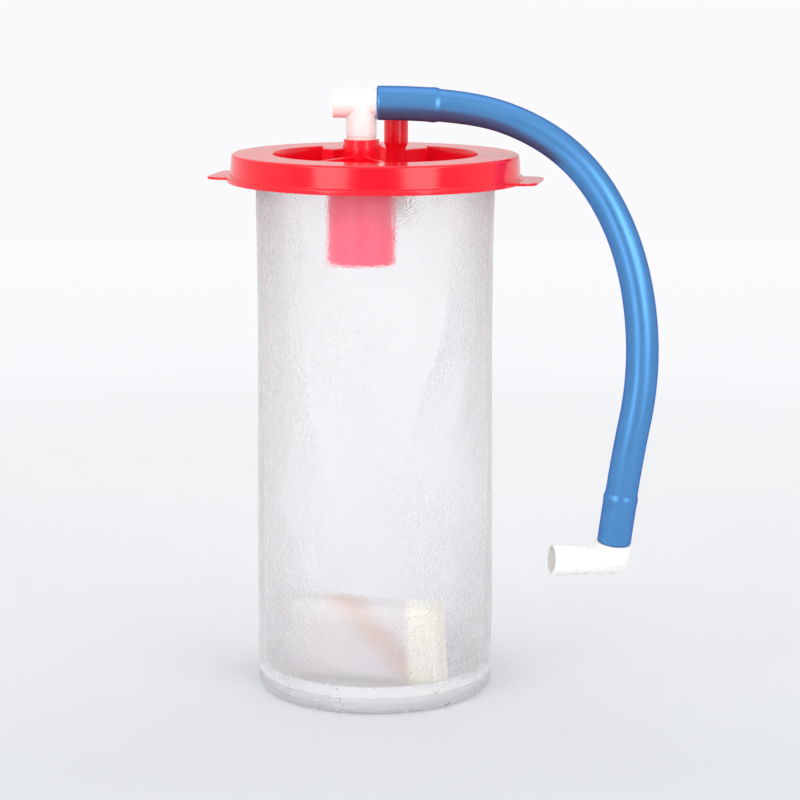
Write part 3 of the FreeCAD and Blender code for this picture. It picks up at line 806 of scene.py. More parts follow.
def rounded(outline: Outline, radii: Sequence[float], steps: int = 5) -> list[tuple[float, float]]:
    """An outline whose corners are arcs.

    Args:
        outline: The corners, in order.
        radii: The radius at each corner, 0 for a sharp one.
        steps: How many runs there are in an arc.

    Returns:
        The outline's points.
    """
    points = []
    count = len(outline)
    for i, (corner, radius) in enumerate(zip(outline, radii)):
        here = Vector(corner)
        back = Vector(outline[i - 1]) - here
        ahead = Vector(outline[(i + 1) % count]) - here
        if radius <= 0 or back.length < 1e-6 or ahead.length < 1e-6:
            points.append((here.x, here.y))
            continue
        angle = back.angle(ahead)
        reach = min(radius / math.tan(angle / 2), 0.49 * back.length, 0.49 * ahead.length)
        radius = reach * math.tan(angle / 2)
        back.normalize()
        ahead.normalize()
        middle = here + (back + ahead).normalized() * (radius / math.sin(angle / 2))
        start, end = here + back * reach - middle, here + ahead * reach - middle
        turn = start.angle_signed(end)
        for k in range(steps + 1):
            spoke = start.copy()
            spoke.rotate(Matrix.Rotation(-turn * k / steps, 2))
            points.append((middle.x + spoke.x, middle.y + spoke.y))
    return points


def lathe(name: str, profile: Outline, axis: tuple[float, float] = (0.0, 0.0),
          sides: int = 240) -> bpy.types.Mesh:
    """Turns a closed (radius, height) outline round an upright axis.

    Args:
        name: The mesh's name.
        profile: The outline.
        axis: Where the axis is, in x and y.
        sides: How many steps there are in a turn.

    Returns:
        The closed mesh.
    """
    turn = np.linspace(0, 2 * math.pi, sides, endpoint=False)
    rows = [np.stack([axis[0] + r * np.cos(turn), axis[1] + r * np.sin(turn), np.full(sides, z)], 1)
            for r, z in profile]
    return mesh_of(name, np.concatenate(rows), ring_faces(len(rows), sides, True))


def prism(name: str, outline: Outline, low: float, high: float, soft: float = 0.0, steps: int = 3,
          shrink: float = 1.0) -> bpy.types.Mesh:
    """An upright prism with softened edges.

    Args:
        name: The mesh's name.
        outline: Its corners, in order.
        low: Height of its foot.
        high: Height of its top.
        soft: Width of the rounding on its edges.
        steps: How many runs there are across the rounding.
        shrink: How large its top is against its foot, about its middle.

    Returns:
        The closed mesh.
    """
    count = len(outline)
    middle = np.mean(np.array(outline), axis=0)
    top = middle + (np.array(outline) - middle) * shrink
    points = [(x, y, low) for x, y in outline] + [(x, y, high) for x, y in top]
    faces = [list(range(count - 1, -1, -1)), list(range(count, 2 * count))]
    faces += [(i, (i + 1) % count, count + (i + 1) % count, count + i) for i in range(count)]
    mesh = mesh_of(name, np.array(points), faces)
    if soft:
        work = bmesh.new()
        work.from_mesh(mesh)
        sharp = [e for e in work.edges if e.calc_face_angle(0) > 0.5]
        bmesh.ops.bevel(work, geom=sharp, offset=soft * MM, segments=steps, profile=0.5, affect="EDGES",
                        clamp_overlap=True)
        work.to_mesh(mesh)
        work.free()
        shade_smooth(mesh)
    return mesh


class Op(Enum):
    """How a form is combined with the one before it."""

    ADD = "UNION"
    CUT = "DIFFERENCE"
    KEEP = "INTERSECT"


def combined(name: str, base: bpy.types.Mesh, steps: Sequence[tuple[Op, bpy.types.Mesh]],
             crease: float = 32.0) -> bpy.types.Mesh:
    """Adds, cuts and keeps closed forms in turn.

    Args:
        name: The result's name.
        base: The form to start from.
        steps: What is done with which form, in order.
        crease: Edges that turn by more than this, in degrees, stay sharp.

    Returns:
        The closed mesh.
    """
    scene = bpy.context.scene.collection
    holder = bpy.data.objects.new(name + "_base", base)
    scene.objects.link(holder)
    tools = []
    for i, (op, form) in enumerate(steps):
        tool = bpy.data.objects.new(f"{name}_tool_{i}", form)
        scene.objects.link(tool)
        tools.append(tool)
        change = holder.modifiers.new(f"step_{i}", "BOOLEAN")
        change.operation = op.value
        change.solver = "MANIFOLD"
        change.object = tool
    bpy.context.view_layer.update()
    mesh = bpy.data.meshes.new_from_object(holder.evaluated_get(bpy.context.evaluated_depsgraph_get()))
    mesh.name = name
    for item in [holder, *tools]:
        bpy.data.objects.remove(item)
    work = bmesh.new()
    work.from_mesh(mesh)
    bmesh.ops.remove_doubles(work, verts=work.verts, dist=2e-6)
    bmesh.ops.dissolve_degenerate(work, edges=work.edges, dist=2e-6)
    for edge in work.edges:
        edge.smooth = edge.calc_face_angle(0) < math.radians(crease)
    open_edges = sum(1 for e in work.edges if not e.is_manifold)
    work.to_mesh(mesh)
    work.free()
    shade_smooth(mesh)
    LOG.info("%s: combined %d forms, %d open edges", name, len(steps) + 1, open_edges)
    holder = bpy.data.objects.new(name + "_shaded", mesh)
    scene.objects.link(holder)
    shading = holder.modifiers.new("shading", "WEIGHTED_NORMAL")
    shading.keep_sharp = True
    shading.weight = 80
    bpy.context.view_layer.update()
    shaded = bpy.data.meshes.new_from_object(holder.evaluated_get(bpy.context.evaluated_depsgraph_get()))
    bpy.data.objects.remove(holder)
    return shaded


@dataclass
class MouldedLid:
    """The one red moulding: rim, flat top, well with ribs and blocks, two ports and two tabs."""

    top_z: float = 240.0
    wall: float = 1.8
    flange_z: float = 227.9
    flange_t: float = 2.4
    flange_r: float = 65.25
    rim_root_r: float = 63.7
    rim_top_r: float = 62.96
    well_r: float = 45.0
    well_depth: float = 8.4
    well_draft: float = 1.6
    ring_r: float = 52.1
    ring_t: float = 1.5
    ring_lift: float = 0.7
    rib_t: float = 1.7
    rib_angles: tuple[float, ...] = (-120.5, -74.0)
    tab_r: float = 73.0
    tab_w: float = 34.0
    tab_t: float = 1.15
    tab_corner_r: float = 9.0
    tab_turn: float = -11.0
    left_block: tuple[tuple[float, float], ...] = ((-24.0, 24.6), (-18.8, 19.2), (-14.4, 25.9))
    right_block: tuple[tuple[float, float], ...] = ((2.4, 37.5), (8.2, 19.6), (14.0, 19.6), (23.6, 29.5))
    port: tuple[float, float] = (-6.1, -9.0)
    port_r: float = 7.75
    port_bore_r: float = 6.25
    port_top_z: float = 246.9
    ledge: float = 1.6
    seat_r: float = 6.6
    seat_h: float = 1.7
    seat_bore_r: float = 3.6
    cage_ring_r: float = 13.0
    cage_ring_h: float = 4.0
    patient: tuple[float, float] = (9.2, 22.0)
    patient_r: float = 5.4
    patient_bore_r: float = 3.3
    patient_top_z: float = 262.0
    neck_r: float = 4.4
    neck_h: float = 2.7
    spout_drop: float = 9.0

    @property
    def floor_z(self) -> float:
        """Height of the well's floor."""
        return self.top_z - self.well_depth

    @property
    def under_z(self) -> float:
        """Height of the underside of the floor."""
        return self.floor_z - self.wall

    def shell(self) -> bpy.types.Mesh:
        """The turned form: flange, rim wall, flat top, well and the ring that holds the film."""
        floor_r, roof_z = self.well_r - self.well_draft, self.top_z - self.wall
        corners = [
            (0.0, self.under_z, 0.0), (floor_r + self.wall, self.under_z, 1.2),
            (self.well_r + self.wall, roof_z, 0.6), (self.ring_r - self.ring_t, roof_z, 0.0),
            (self.ring_r - self.ring_t, self.flange_z + self.ring_lift, 0.4),
            (self.ring_r, self.flange_z + self.ring_lift, 0.4), (self.ring_r, roof_z, 0.0),
            (self.rim_top_r - self.wall, roof_z, 0.6), (self.rim_root_r - self.wall, self.flange_z, 0.3),
            (self.flange_r, self.flange_z, 0.45), (self.flange_r, self.flange_z + self.flange_t, 0.7),
            (self.rim_root_r, self.flange_z + self.flange_t, 0.35), (self.rim_top_r, self.top_z, 1.3),
            (self.well_r, self.top_z, 0.7), (floor_r, self.floor_z, 0.8), (0.0, self.floor_z, 0.0),
        ]
        profile = rounded([(r, z) for r, z, _ in corners], [s for _, _, s in corners], 5)
        return lathe("lid_shell", profile, sides=256)

    def well_form(self, bite: float, low: float, high: float, name: str) -> bpy.types.Mesh:
        """A form with the well's own slope that bounds what stands in the well.

        Args:
            bite: How far it goes into the well's wall.
            low: Height of its foot.
            high: Height of its top.
            name: The mesh's name.

        Returns:
            The closed mesh.
        """
        slope = self.well_draft / self.well_depth
        foot_r = self.well_r - self.well_draft + bite + slope * (low - self.floor_z)
        top_r = foot_r + slope * (high - low)
        return lathe(name, [(0, low), (foot_r, low), (top_r, high), (0, high)], sides=256)

    def block(self, front: Outline, name: str) -> tuple[bpy.types.Mesh, bpy.types.Mesh]:
        """A raised part of the well, and the hollow under it.

        Args:
            front: Its front corners, whose sides run back to the well's wall.
            name: The meshes' name.

        Returns:
            The block and its core.
        """
        back = self.well_r + 4.0
        outline = [(front[0][0], back), *front, (front[-1][0], back)]
        solid = prism(name, outline, self.floor_z - 0.6, self.top_z - 0.01, soft=0.55, steps=3, shrink=0.985)
        bound = self.well_form(self.wall / 2, self.floor_z - 0.5, self.top_z + 0.5, name + "_bound")
        solid = combined(name, solid, [(Op.KEEP, bound)])
        points = [Vector(p) for p in outline]
        inset = []
        for i, here in enumerate(points):
            into = (here - points[i - 1]).normalized()
            out = (points[(i + 1) % len(points)] - here).normalized()
            side_in, side_out = Vector((-into.y, into.x)), Vector((-out.y, out.x))
            shift = (side_in + side_out).normalized()
            inset.append(here + shift * (self.wall / max(0.3, shift.dot(side_in))))
        core = prism(name + "_core", [(p.x, p.y) for p in inset], self.under_z - 1.0, self.top_z - self.wall)
        bound = self.well_form(0.0, self.under_z - 0.9, self.top_z, name + "_core_bound")
        return solid, combined(name + "_core", core, [(Op.KEEP, bound)])

    def rib(self, angle: float, name: str) -> bpy.types.Mesh:
        """A rib from the front port to the well's wall, with a rounded top edge.

        Args:
            angle: Its direction, in degrees from +X.
            name: The mesh's name.

        Returns:
            The closed mesh.
        """
        half = self.rib_t / 2
        arch = rounded([(-half - 0.12, self.floor_z - 0.4), (half + 0.12, self.floor_z - 0.4),
                        (half - 0.12, self.top_z - 0.02), (-half + 0.12, self.top_z - 0.02)],
                       [0, 0, 0.45, 0.45], 4)
        out = Vector((math.cos(math.radians(angle)), math.sin(math.radians(angle))))
        side = Vector((-out.y, out.x))
        start = Vector(self.port)
        along, base = start.dot(out), start.length_squared
        rows = []
        for share in (0.0, 1.0):
            row = []
            for across, z in arch:
                reach_r = self.well_r - self.well_draft + self.wall / 2
                reach_r += self.well_draft * (z - self.floor_z) / self.well_depth
                reach = -along + math.sqrt(along ** 2 - base + reach_r ** 2)
                p = start + side * across + out * (reach * share)
                row.append((p.x, p.y, z))
            rows += row
        count = len(arch)
        faces = ring_faces(2, count) + [list(range(count)), list(range(count, 2 * count))]
        return mesh_of(name, np.array(rows), faces)

    def tab(self, side: float, name: str) -> bpy.types.Mesh:
        """A pull tab at the flange.

        Args:
            side: Which way it points, in degrees.
            name: The mesh's name.

        Returns:
            The closed mesh.
        """
        inner = self.rim_root_r - self.wall / 2
        half = self.tab_w / 2
        start = math.sqrt(inner ** 2 - half ** 2)
        tip = rounded([(start, -half), (self.tab_r, -half), (self.tab_r, half), (start, half)],
                      [0, self.tab_corner_r, self.tab_corner_r, 0], 14)
        root = [(inner * math.cos(a), inner * math.sin(a))
                for a in np.linspace(math.asin(half / inner), -math.asin(half / inner), 15)[1:-1]]
        turn = math.radians(self.tab_turn + side)
        outline = [(x * math.cos(turn) - y * math.sin(turn), x * math.sin(turn) + y * math.cos(turn))
                   for x, y in tip + root]
        low = self.flange_z + (self.flange_t - self.tab_t) / 2
        return prism(name, outline, low, low + self.tab_t, soft=0.32, steps=3)

    def build(self, finish: MouldedPlastic) -> bpy.types.Object:
        """Makes the lid and dresses it.

        Args:
            finish: The lid's finish.

        Returns:
            The piece.
        """
        left, left_core = self.block(self.left_block, "left_block")
        right, right_core = self.block(self.right_block, "right_block")
        ledge_z = self.under_z + self.ledge
        seat_z = self.under_z - self.seat_h
        spout_z = self.under_z - self.spout_drop
        deep = self.under_z + 0.5
        sprue = rounded([(0, deep), (self.port_r + 0.7, deep), (self.port_r + 0.7, self.floor_z),
                         (self.port_r, self.floor_z), (self.port_r, self.port_top_z), (0, self.port_top_z)],
                        [0, 0, 0, 0.7, 0.3, 0], 5)
        seat = rounded([(0, seat_z), (self.seat_r, seat_z), (self.seat_r, deep), (0, deep)],
                       [0, 0.4, 0, 0], 4)
        ring = rounded([(self.cage_ring_r - self.wall, self.under_z - self.cage_ring_h),
                        (self.cage_ring_r, self.under_z - self.cage_ring_h), (self.cage_ring_r, deep),
                        (self.cage_ring_r - self.wall, deep)], [0.4, 0.4, 0, 0], 4)
        neck_z = self.top_z + self.neck_h
        spout = rounded([(0, spout_z), (self.patient_r, spout_z), (self.patient_r, deep), (self.neck_r, deep),
                         (self.neck_r, self.top_z + 0.3), (self.patient_r, neck_z),
                         (self.patient_r, self.patient_top_z), (0, self.patient_top_z)],
                        [0, 0.4, 0, 0, 0.5, 0.6, 0.35, 0], 5)
        bore = rounded([(0, ledge_z), (self.port_bore_r, ledge_z), (self.port_bore_r, self.port_top_z),
                        (self.port_bore_r + 0.25, self.port_top_z + 0.3), (0, self.port_top_z + 0.3)],
                       [0, 0.2, 0, 0, 0], 3)
        steps = [(Op.CUT, left_core), (Op.CUT, right_core), (Op.ADD, left), (Op.ADD, right)]
        steps += [(Op.ADD, self.rib(a, f"rib_{i}")) for i, a in enumerate(self.rib_angles)]
        steps += [(Op.ADD, self.tab(s, f"tab_{i}")) for i, s in enumerate((0.0, 180.0))]
        steps += [
            (Op.ADD, lathe("sprue", sprue, self.port, 96)), (Op.ADD, lathe("seat", seat, self.port, 96)),
            (Op.ADD, lathe("cage_ring", ring, self.port, 128)),
            (Op.ADD, lathe("spout", spout, self.patient, 96)), (Op.CUT, lathe("bore", bore, self.port, 96)),
            (Op.CUT, lathe("seat_bore", [(0, seat_z - 1), (self.seat_bore_r, seat_z - 1),
                                         (self.seat_bore_r, ledge_z + 1), (0, ledge_z + 1)], self.port, 64)),
            (Op.CUT, lathe("patient_bore", [(0, spout_z - 1), (self.patient_bore_r, spout_z - 1),
                                            (self.patient_bore_r, self.patient_top_z + 1),
                                            (0, self.patient_top_z + 1)], self.patient, 64)),
        ]
        mesh = combined("moulded_lid", self.shell(), steps)
        return finished("moulded_lid", mesh, finish.build(), Body.CANISTER, Slot.LID, "lid")


@dataclass
class PortTee:
    """White tee with a plug leg in the port, an open stub and a spigot in the tube."""

    port: tuple[float, float] = (-6.1, -9.0)
    port_top_z: float = 246.9
    bar_r: float = 6.4
    bar_z: float = 262.5
    stub: float = 12.4
    shoulder: float = 6.8
    leg_r: float = 6.6
    bore_r: float = 4.0
    stub_bore_r: float = 4.4
    stub_bore_l: float = 9.0
    through_r: float = 3.3
    plug_r: float = 6.2
    plug_l: float = 10.8
    spigot_r: float = 4.8
    spigot_l: float = 20.0
    seat_gap: float = 0.3
    taper_h: float = 1.4

    def along_bar(self, name: str, profile: Outline, sides: int) -> bpy.types.Mesh:
        """Turns an outline of (radius, distance to the right of the port's axis) round the bar's axis."""
        mesh = lathe(name, profile, sides=sides)
        place = Matrix.Translation(Vector((self.port[0], self.port[1], self.bar_z)) * MM)
        mesh.transform(place @ Matrix.Rotation(math.pi / 2, 4, "Y"))
        return mesh

    def build(self, finish: MouldedPlastic) -> bpy.types.Object:
        """Makes the tee and dresses it.

        Args:
            finish: The connector's finish.

        Returns:
            The piece.
        """
        low = self.port_top_z - self.plug_l
        step = self.port_top_z + self.seat_gap
        leg = rounded([(0, low), (self.plug_r, low), (self.plug_r, step), (self.leg_r, step + self.taper_h),
                       (self.leg_r, self.bar_z + 0.5), (0, self.bar_z + self.bar_r - 0.1)],
                      [0, 0.5, 0.15, 0.5, 4.0, 0], 8)
        bar = rounded([(0, -self.stub), (self.bar_r, -self.stub), (self.bar_r, self.shoulder),
                       (0, self.shoulder)], [0, 0.45, 0.3, 0], 5)
        reach = self.shoulder + self.spigot_l
        spigot = rounded([(0, 0), (self.spigot_r, 0), (self.spigot_r, reach), (0, reach)], [0, 0, 0.6, 0], 5)
        lead_r, end = self.stub_bore_r + 0.3, -self.stub
        mouth = [(0, end - 1), (lead_r, end - 1), (lead_r, end), (self.stub_bore_r, end + 0.35),
                 (self.stub_bore_r, end + self.stub_bore_l), (0, end + self.stub_bore_l)]
        through = [(0, end - 1), (self.through_r, end - 1), (self.through_r, reach + 1), (0, reach + 1)]
        down = [(0, low - 1), (self.bore_r, low - 1), (self.bore_r, self.bar_z), (0, self.bar_z)]
        mesh = combined("port_tee", self.along_bar("tee_bar", bar, 128), [
            (Op.ADD, lathe("tee_leg", leg, self.port, 128)),
            (Op.ADD, self.along_bar("tee_spigot", spigot, 96)),
            (Op.CUT, self.along_bar("tee_mouth", mouth, 96)),
            (Op.CUT, self.along_bar("tee_through", through, 64)),
            (Op.CUT, lathe("tee_down", down, self.port, 64)),
        ])
        return finished("port_tee", mesh, finish.build(), Body.TEE, Slot.CONNECTOR, "tee_connector")


@dataclass
class HangingElbow:
    """White elbow with a spigot up into the tube and a flared leg with a socket."""

    corner: tuple[float, float, float] = (104.063, -28.563, 63.8)
    up: tuple[float, float, float] = (0.1065, -0.1065, 0.9886)
    leg: tuple[float, float, float] = (-0.96478, -0.25159, 0.076805)
    barrel_r: float = 8.0
    drop: float = 8.5
    leg_l: float = 28.2
    root_r: float = 6.0
    mouth_r: float = 7.2
    socket_r: float = 5.7
    socket_l: float = 20.0
    bore_r: float = 3.3
    spigot_r: float = 4.75
    spigot_l: float = 17.8

    def build(self, finish: MouldedPlastic) -> bpy.types.Object:
        """Makes the elbow in its own frame, places it and dresses it.

        Args:
            finish: The connector's finish.

        Returns:
            The piece.
        """
        lie = Matrix.Rotation(math.pi / 2, 4, "Y")
        wide = self.barrel_r + 1
        barrel = rounded([(0, -self.root_r), (self.barrel_r, -self.root_r), (self.barrel_r, self.drop),
                          (0, self.drop)], [0, 0, 0.45, 0], 5)
        belly = lathe("elbow_belly", [(0, -wide), (self.root_r, -wide), (self.root_r, wide), (0, wide)],
                      sides=128)
        belly.transform(lie)
        square = [(-wide, -wide), (wide, -wide), (wide, wide), (-wide, wide)]
        upper = prism("elbow_upper", square, 0, self.drop + 1)
        keep = combined("elbow_keep", belly, [(Op.ADD, upper)])
        slant = mesh_of("elbow_slant", np.array([
            (-wide, -wide, 3.5), (-wide, -wide, -self.root_r - 1), (-3.2, -wide, -self.root_r - 1),
            (-wide, wide, 3.5), (-wide, wide, -self.root_r - 1), (-3.2, wide, -self.root_r - 1),
        ]), [(0, 1, 2), (3, 5, 4), (0, 3, 4, 1), (1, 4, 5, 2), (2, 5, 3, 0)])
        leg = rounded([(0, 0), (self.root_r, 0), (self.mouth_r, self.leg_l), (0, self.leg_l)],
                      [0, 0, 0.4, 0], 5)
        lead_r, clear = self.socket_r + 0.4, wide + 40
        socket = [(0, self.leg_l - self.socket_l), (self.socket_r, self.leg_l - self.socket_l),
                  (self.socket_r, self.leg_l - 0.4), (lead_r, self.leg_l), (lead_r, clear), (0, clear)]
        spigot = rounded([(0, 1), (self.spigot_r, 1), (self.spigot_r, self.drop + self.spigot_l),
                          (0, self.drop + self.spigot_l)], [0, 0, 0.6, 0], 5)
        run = [(0, 0), (self.bore_r, 0), (self.bore_r, self.leg_l), (0, self.leg_l)]
        level = []
        for name, profile in (("elbow_leg", leg), ("elbow_socket", socket), ("elbow_run", run)):
            mesh = lathe(name, profile, sides=128)
            mesh.transform(lie)
            level.append(mesh)
        rise = [(0, 0), (self.bore_r, 0), (self.bore_r, self.drop + self.spigot_l + 1),
                (0, self.drop + self.spigot_l + 1)]
        mesh = combined("hanging_elbow", lathe("elbow_barrel", barrel, sides=128), [
            (Op.KEEP, keep), (Op.CUT, slant), (Op.ADD, level[0]),
            (Op.ADD, lathe("elbow_spigot", spigot, sides=96)), (Op.CUT, level[1]), (Op.CUT, level[2]),
            (Op.CUT, lathe("elbow_rise", rise, sides=64)),
        ])
        up, leg_way = Vector(self.up).normalized(), Vector(self.leg).normalized()
        frame_rows = Matrix((leg_way, up.cross(leg_way), up)).transposed().to_4x4()
        mesh.transform(Matrix.Translation(Vector(self.corner) * MM) @ frame_rows)
        return finished("hanging_elbow", mesh, finish.build(), Body.ELBOW, Slot.CONNECTOR, "elbow_connector")


@dataclass(frozen=True)
class SachetFilm:
    """Sachet film coloured in fields: pale pink, with a slanted brown band and a cream panel at its end."""

    name: str = "sachet_colour_fields"
    cream: tuple[float, float, float] = (0.8, 0.775, 0.69)
    pink: tuple[float, float, float] = (0.63, 0.605, 0.61)
    brown: tuple[float, float, float] = (0.6, 0.47, 0.43)
    roughness: float = 0.35
    band_slope: float = 0.54
    band: tuple[float, float, float, float] = (0.5, 0.6, 0.64, 0.72)
    panel_from: float = 0.76
    panel_to: float = 0.8

    def build(self) -> bpy.types.Material:
        """Makes the material, whose band and panel lie on the sachet's own map."""
        graph = NodeGraph(self.name)
        lane = graph.add("ShaderNodeAttribute", attribute_name="sachet_map")
        split = graph.add("ShaderNodeSeparateXYZ")
        graph.join(lane, "Vector", split, "Vector")
        slant = graph.add("ShaderNodeMath", operation="MULTIPLY_ADD")
        graph.join(split, "Y", slant, 0)
        slant.inputs[1].default_value = self.band_slope
        graph.join(split, "X", slant, 2)
        band = graph.spread(slant, 0, 0.0, 1.0, 0.0, 1 + self.band_slope)
        ramp = graph.add("ShaderNodeValToRGB")
        stops = ramp.color_ramp
        stops.elements[0].position, stops.elements[0].color = 0.0, (*self.pink, 1.0)
        stops.elements[1].position, stops.elements[1].color = 1.0, (*self.pink, 1.0)
        for position, colour in zip(self.band, (self.pink, self.brown, self.brown, self.pink)):
            stops.elements.new(position).color = (*colour, 1.0)
        graph.join(band, 0, ramp, "Fac")
        panel = graph.add("ShaderNodeMix", data_type="RGBA")
        graph.join(graph.spread(split, "X", 0.0, 1.0, self.panel_from, self.panel_to), 0, panel, 0)
        graph.join(ramp, "Color", panel, 6)
        panel.inputs[7].default_value = (*self.cream, 1.0)
        cloud = graph.noise(graph.place(), 60.0, 3.0)
        mix = graph.add("ShaderNodeMix", data_type="RGBA", blend_type="MULTIPLY")
        mix.inputs[0].default_value = 0.15
        graph.join(panel, 2, mix, 6)
        graph.join(cloud, "Color", mix, 7)
        graph.join(mix, 2, graph.shader, "Base Color")
        spread = graph.spread(cloud, "Fac", self.roughness * 0.8, self.roughness * 1.3, 0.3, 0.7)
        graph.join(spread, 0, graph.shader, "Roughness")
        crinkle = graph.bump(graph.noise(graph.place(), 260.0, 4.0, 0.6), "Fac", 0.35, 0.0004)
        graph.join(crinkle, "Normal", graph.shader, "Normal")
        graph.surface(IOR=1.48)
        return graph.material


@dataclass
class GelSachet:
    """Sealed pillow pack with crimped seams, a little creased, which stands against the film."""

    length: float = 76.0
    width: float = 47.0
    bulge: float = 4.2
    seam_w: float = 4.5
    seam_t: float = 0.5
    slide: float = 1.8
    turn: float = -15.0
    lean: float = 12.0
    foot_z: float = 2.25
    ahead: float = 28.0
    columns: int = 150
    rows: int = 92
    crimp: float = 0.16
    ripple: float = 0.35
    ripple_fade: float = 3.5
    sag: float = 0.35
    seed: int = 3

    def half_thickness(self, u: np.ndarray, v: np.ndarray) -> np.ndarray:
        """How thick half of the pack is at a place, from -1 to 1 along and across."""
        edge = np.minimum((1 - abs(u)) * self.length / 2, (1 - abs(v)) * self.width / 2) - self.seam_w
        along = np.clip(1 - (abs(u) / (1 - 2 * self.seam_w / self.length)) ** 2, 0, 1)
        across = np.clip(1 - (abs(v) / (1 - 2 * self.seam_w / self.width)) ** 2, 0, 1)
        pillow = self.bulge * np.minimum(1, 1.25 * (along * across) ** 0.42) * (edge > 0)
        ripple = self.ripple * np.sin(u * 41 + 3 * v) * np.exp(-np.clip(edge, 0, 99) / self.ripple_fade)
        ripple = ripple * (edge > 0) * (along * across > 0)
        return np.maximum(pillow + ripple, 0) + self.seam_t / 2

    def build(self, finish: SachetFilm) -> bpy.types.Object:
        """Makes the sachet, stands it in its place and dresses it.

        Args:
            finish: The sachet's finish.

        Returns:
            The piece.
        """
        u = np.linspace(-1, 1, self.columns)[None, :] * np.ones((self.rows, 1))
        v = np.linspace(-1, 1, self.rows)[:, None] * np.ones((1, self.columns))
        half = self.half_thickness(u, v)
        x, y = u * self.length / 2, v * self.width / 2
        seam = half < self.seam_t / 2 + 0.05
        teeth = self.crimp * np.sin(x * 5.2) * seam
        draw = np.random.default_rng(self.seed)
        sag = np.zeros_like(x)
        for _ in range(5):
            a, b, c = draw.uniform(-0.12, 0.12), draw.uniform(-0.12, 0.12), draw.uniform(0, 6.28)
            sag += self.sag * np.sin(a * x + b * y + c)
        faces_up = np.stack([x, y, sag + teeth + half], -1).reshape(-1, 3)
        faces_down = np.stack([x, y, sag + teeth - half], -1).reshape(-1, 3)
        points = np.concatenate([faces_up, faces_down])
        count = self.rows * self.columns
        faces = []
        for i in range(self.rows - 1):
            for j in range(self.columns - 1):
                a = i * self.columns + j
                quad = (a, a + 1, a + self.columns + 1, a + self.columns)
                faces.append(quad)
                faces.append(tuple(count + k for k in reversed(quad)))
        rim = list(range(self.columns))
        rim += [i * self.columns + self.columns - 1 for i in range(1, self.rows)]
        rim += [(self.rows - 1) * self.columns + j for j in range(self.columns - 2, -1, -1)]
        rim += [i * self.columns for i in range(self.rows - 2, 0, -1)]
        for a, b in zip(rim, rim[1:] + rim[:1]):
            faces.append((b, a, count + a, count + b))
        mesh = bpy.data.meshes.new("gel_sachet_pack")
        mesh.from_pydata((points * MM).tolist(), [], faces)
        lane = mesh.attributes.new("sachet_map", "FLOAT_VECTOR", "POINT")
        flat = np.stack([(u + 1) / 2, (v + 1) / 2, np.zeros_like(u)], -1).reshape(-1, 3)
        lane.data.foreach_set("vector", np.concatenate([flat, flat]).ravel())
        lean = Matrix.Rotation(math.radians(90 + self.lean), 4, "X")
        turn = Matrix.Rotation(math.radians(self.turn), 4, "Z")
        mesh.transform(turn @ lean)
        low = min(v.co.z for v in mesh.vertices)
        shift = turn @ Vector((self.slide * MM, -self.ahead * MM, self.foot_z * MM - low))
        mesh.transform(Matrix.Translation(shift))
        outwards(mesh)
        return finished("gel_sachet_pack", mesh, finish.build(), Body.CANISTER, Slot.SACHET, "gel_sachet")


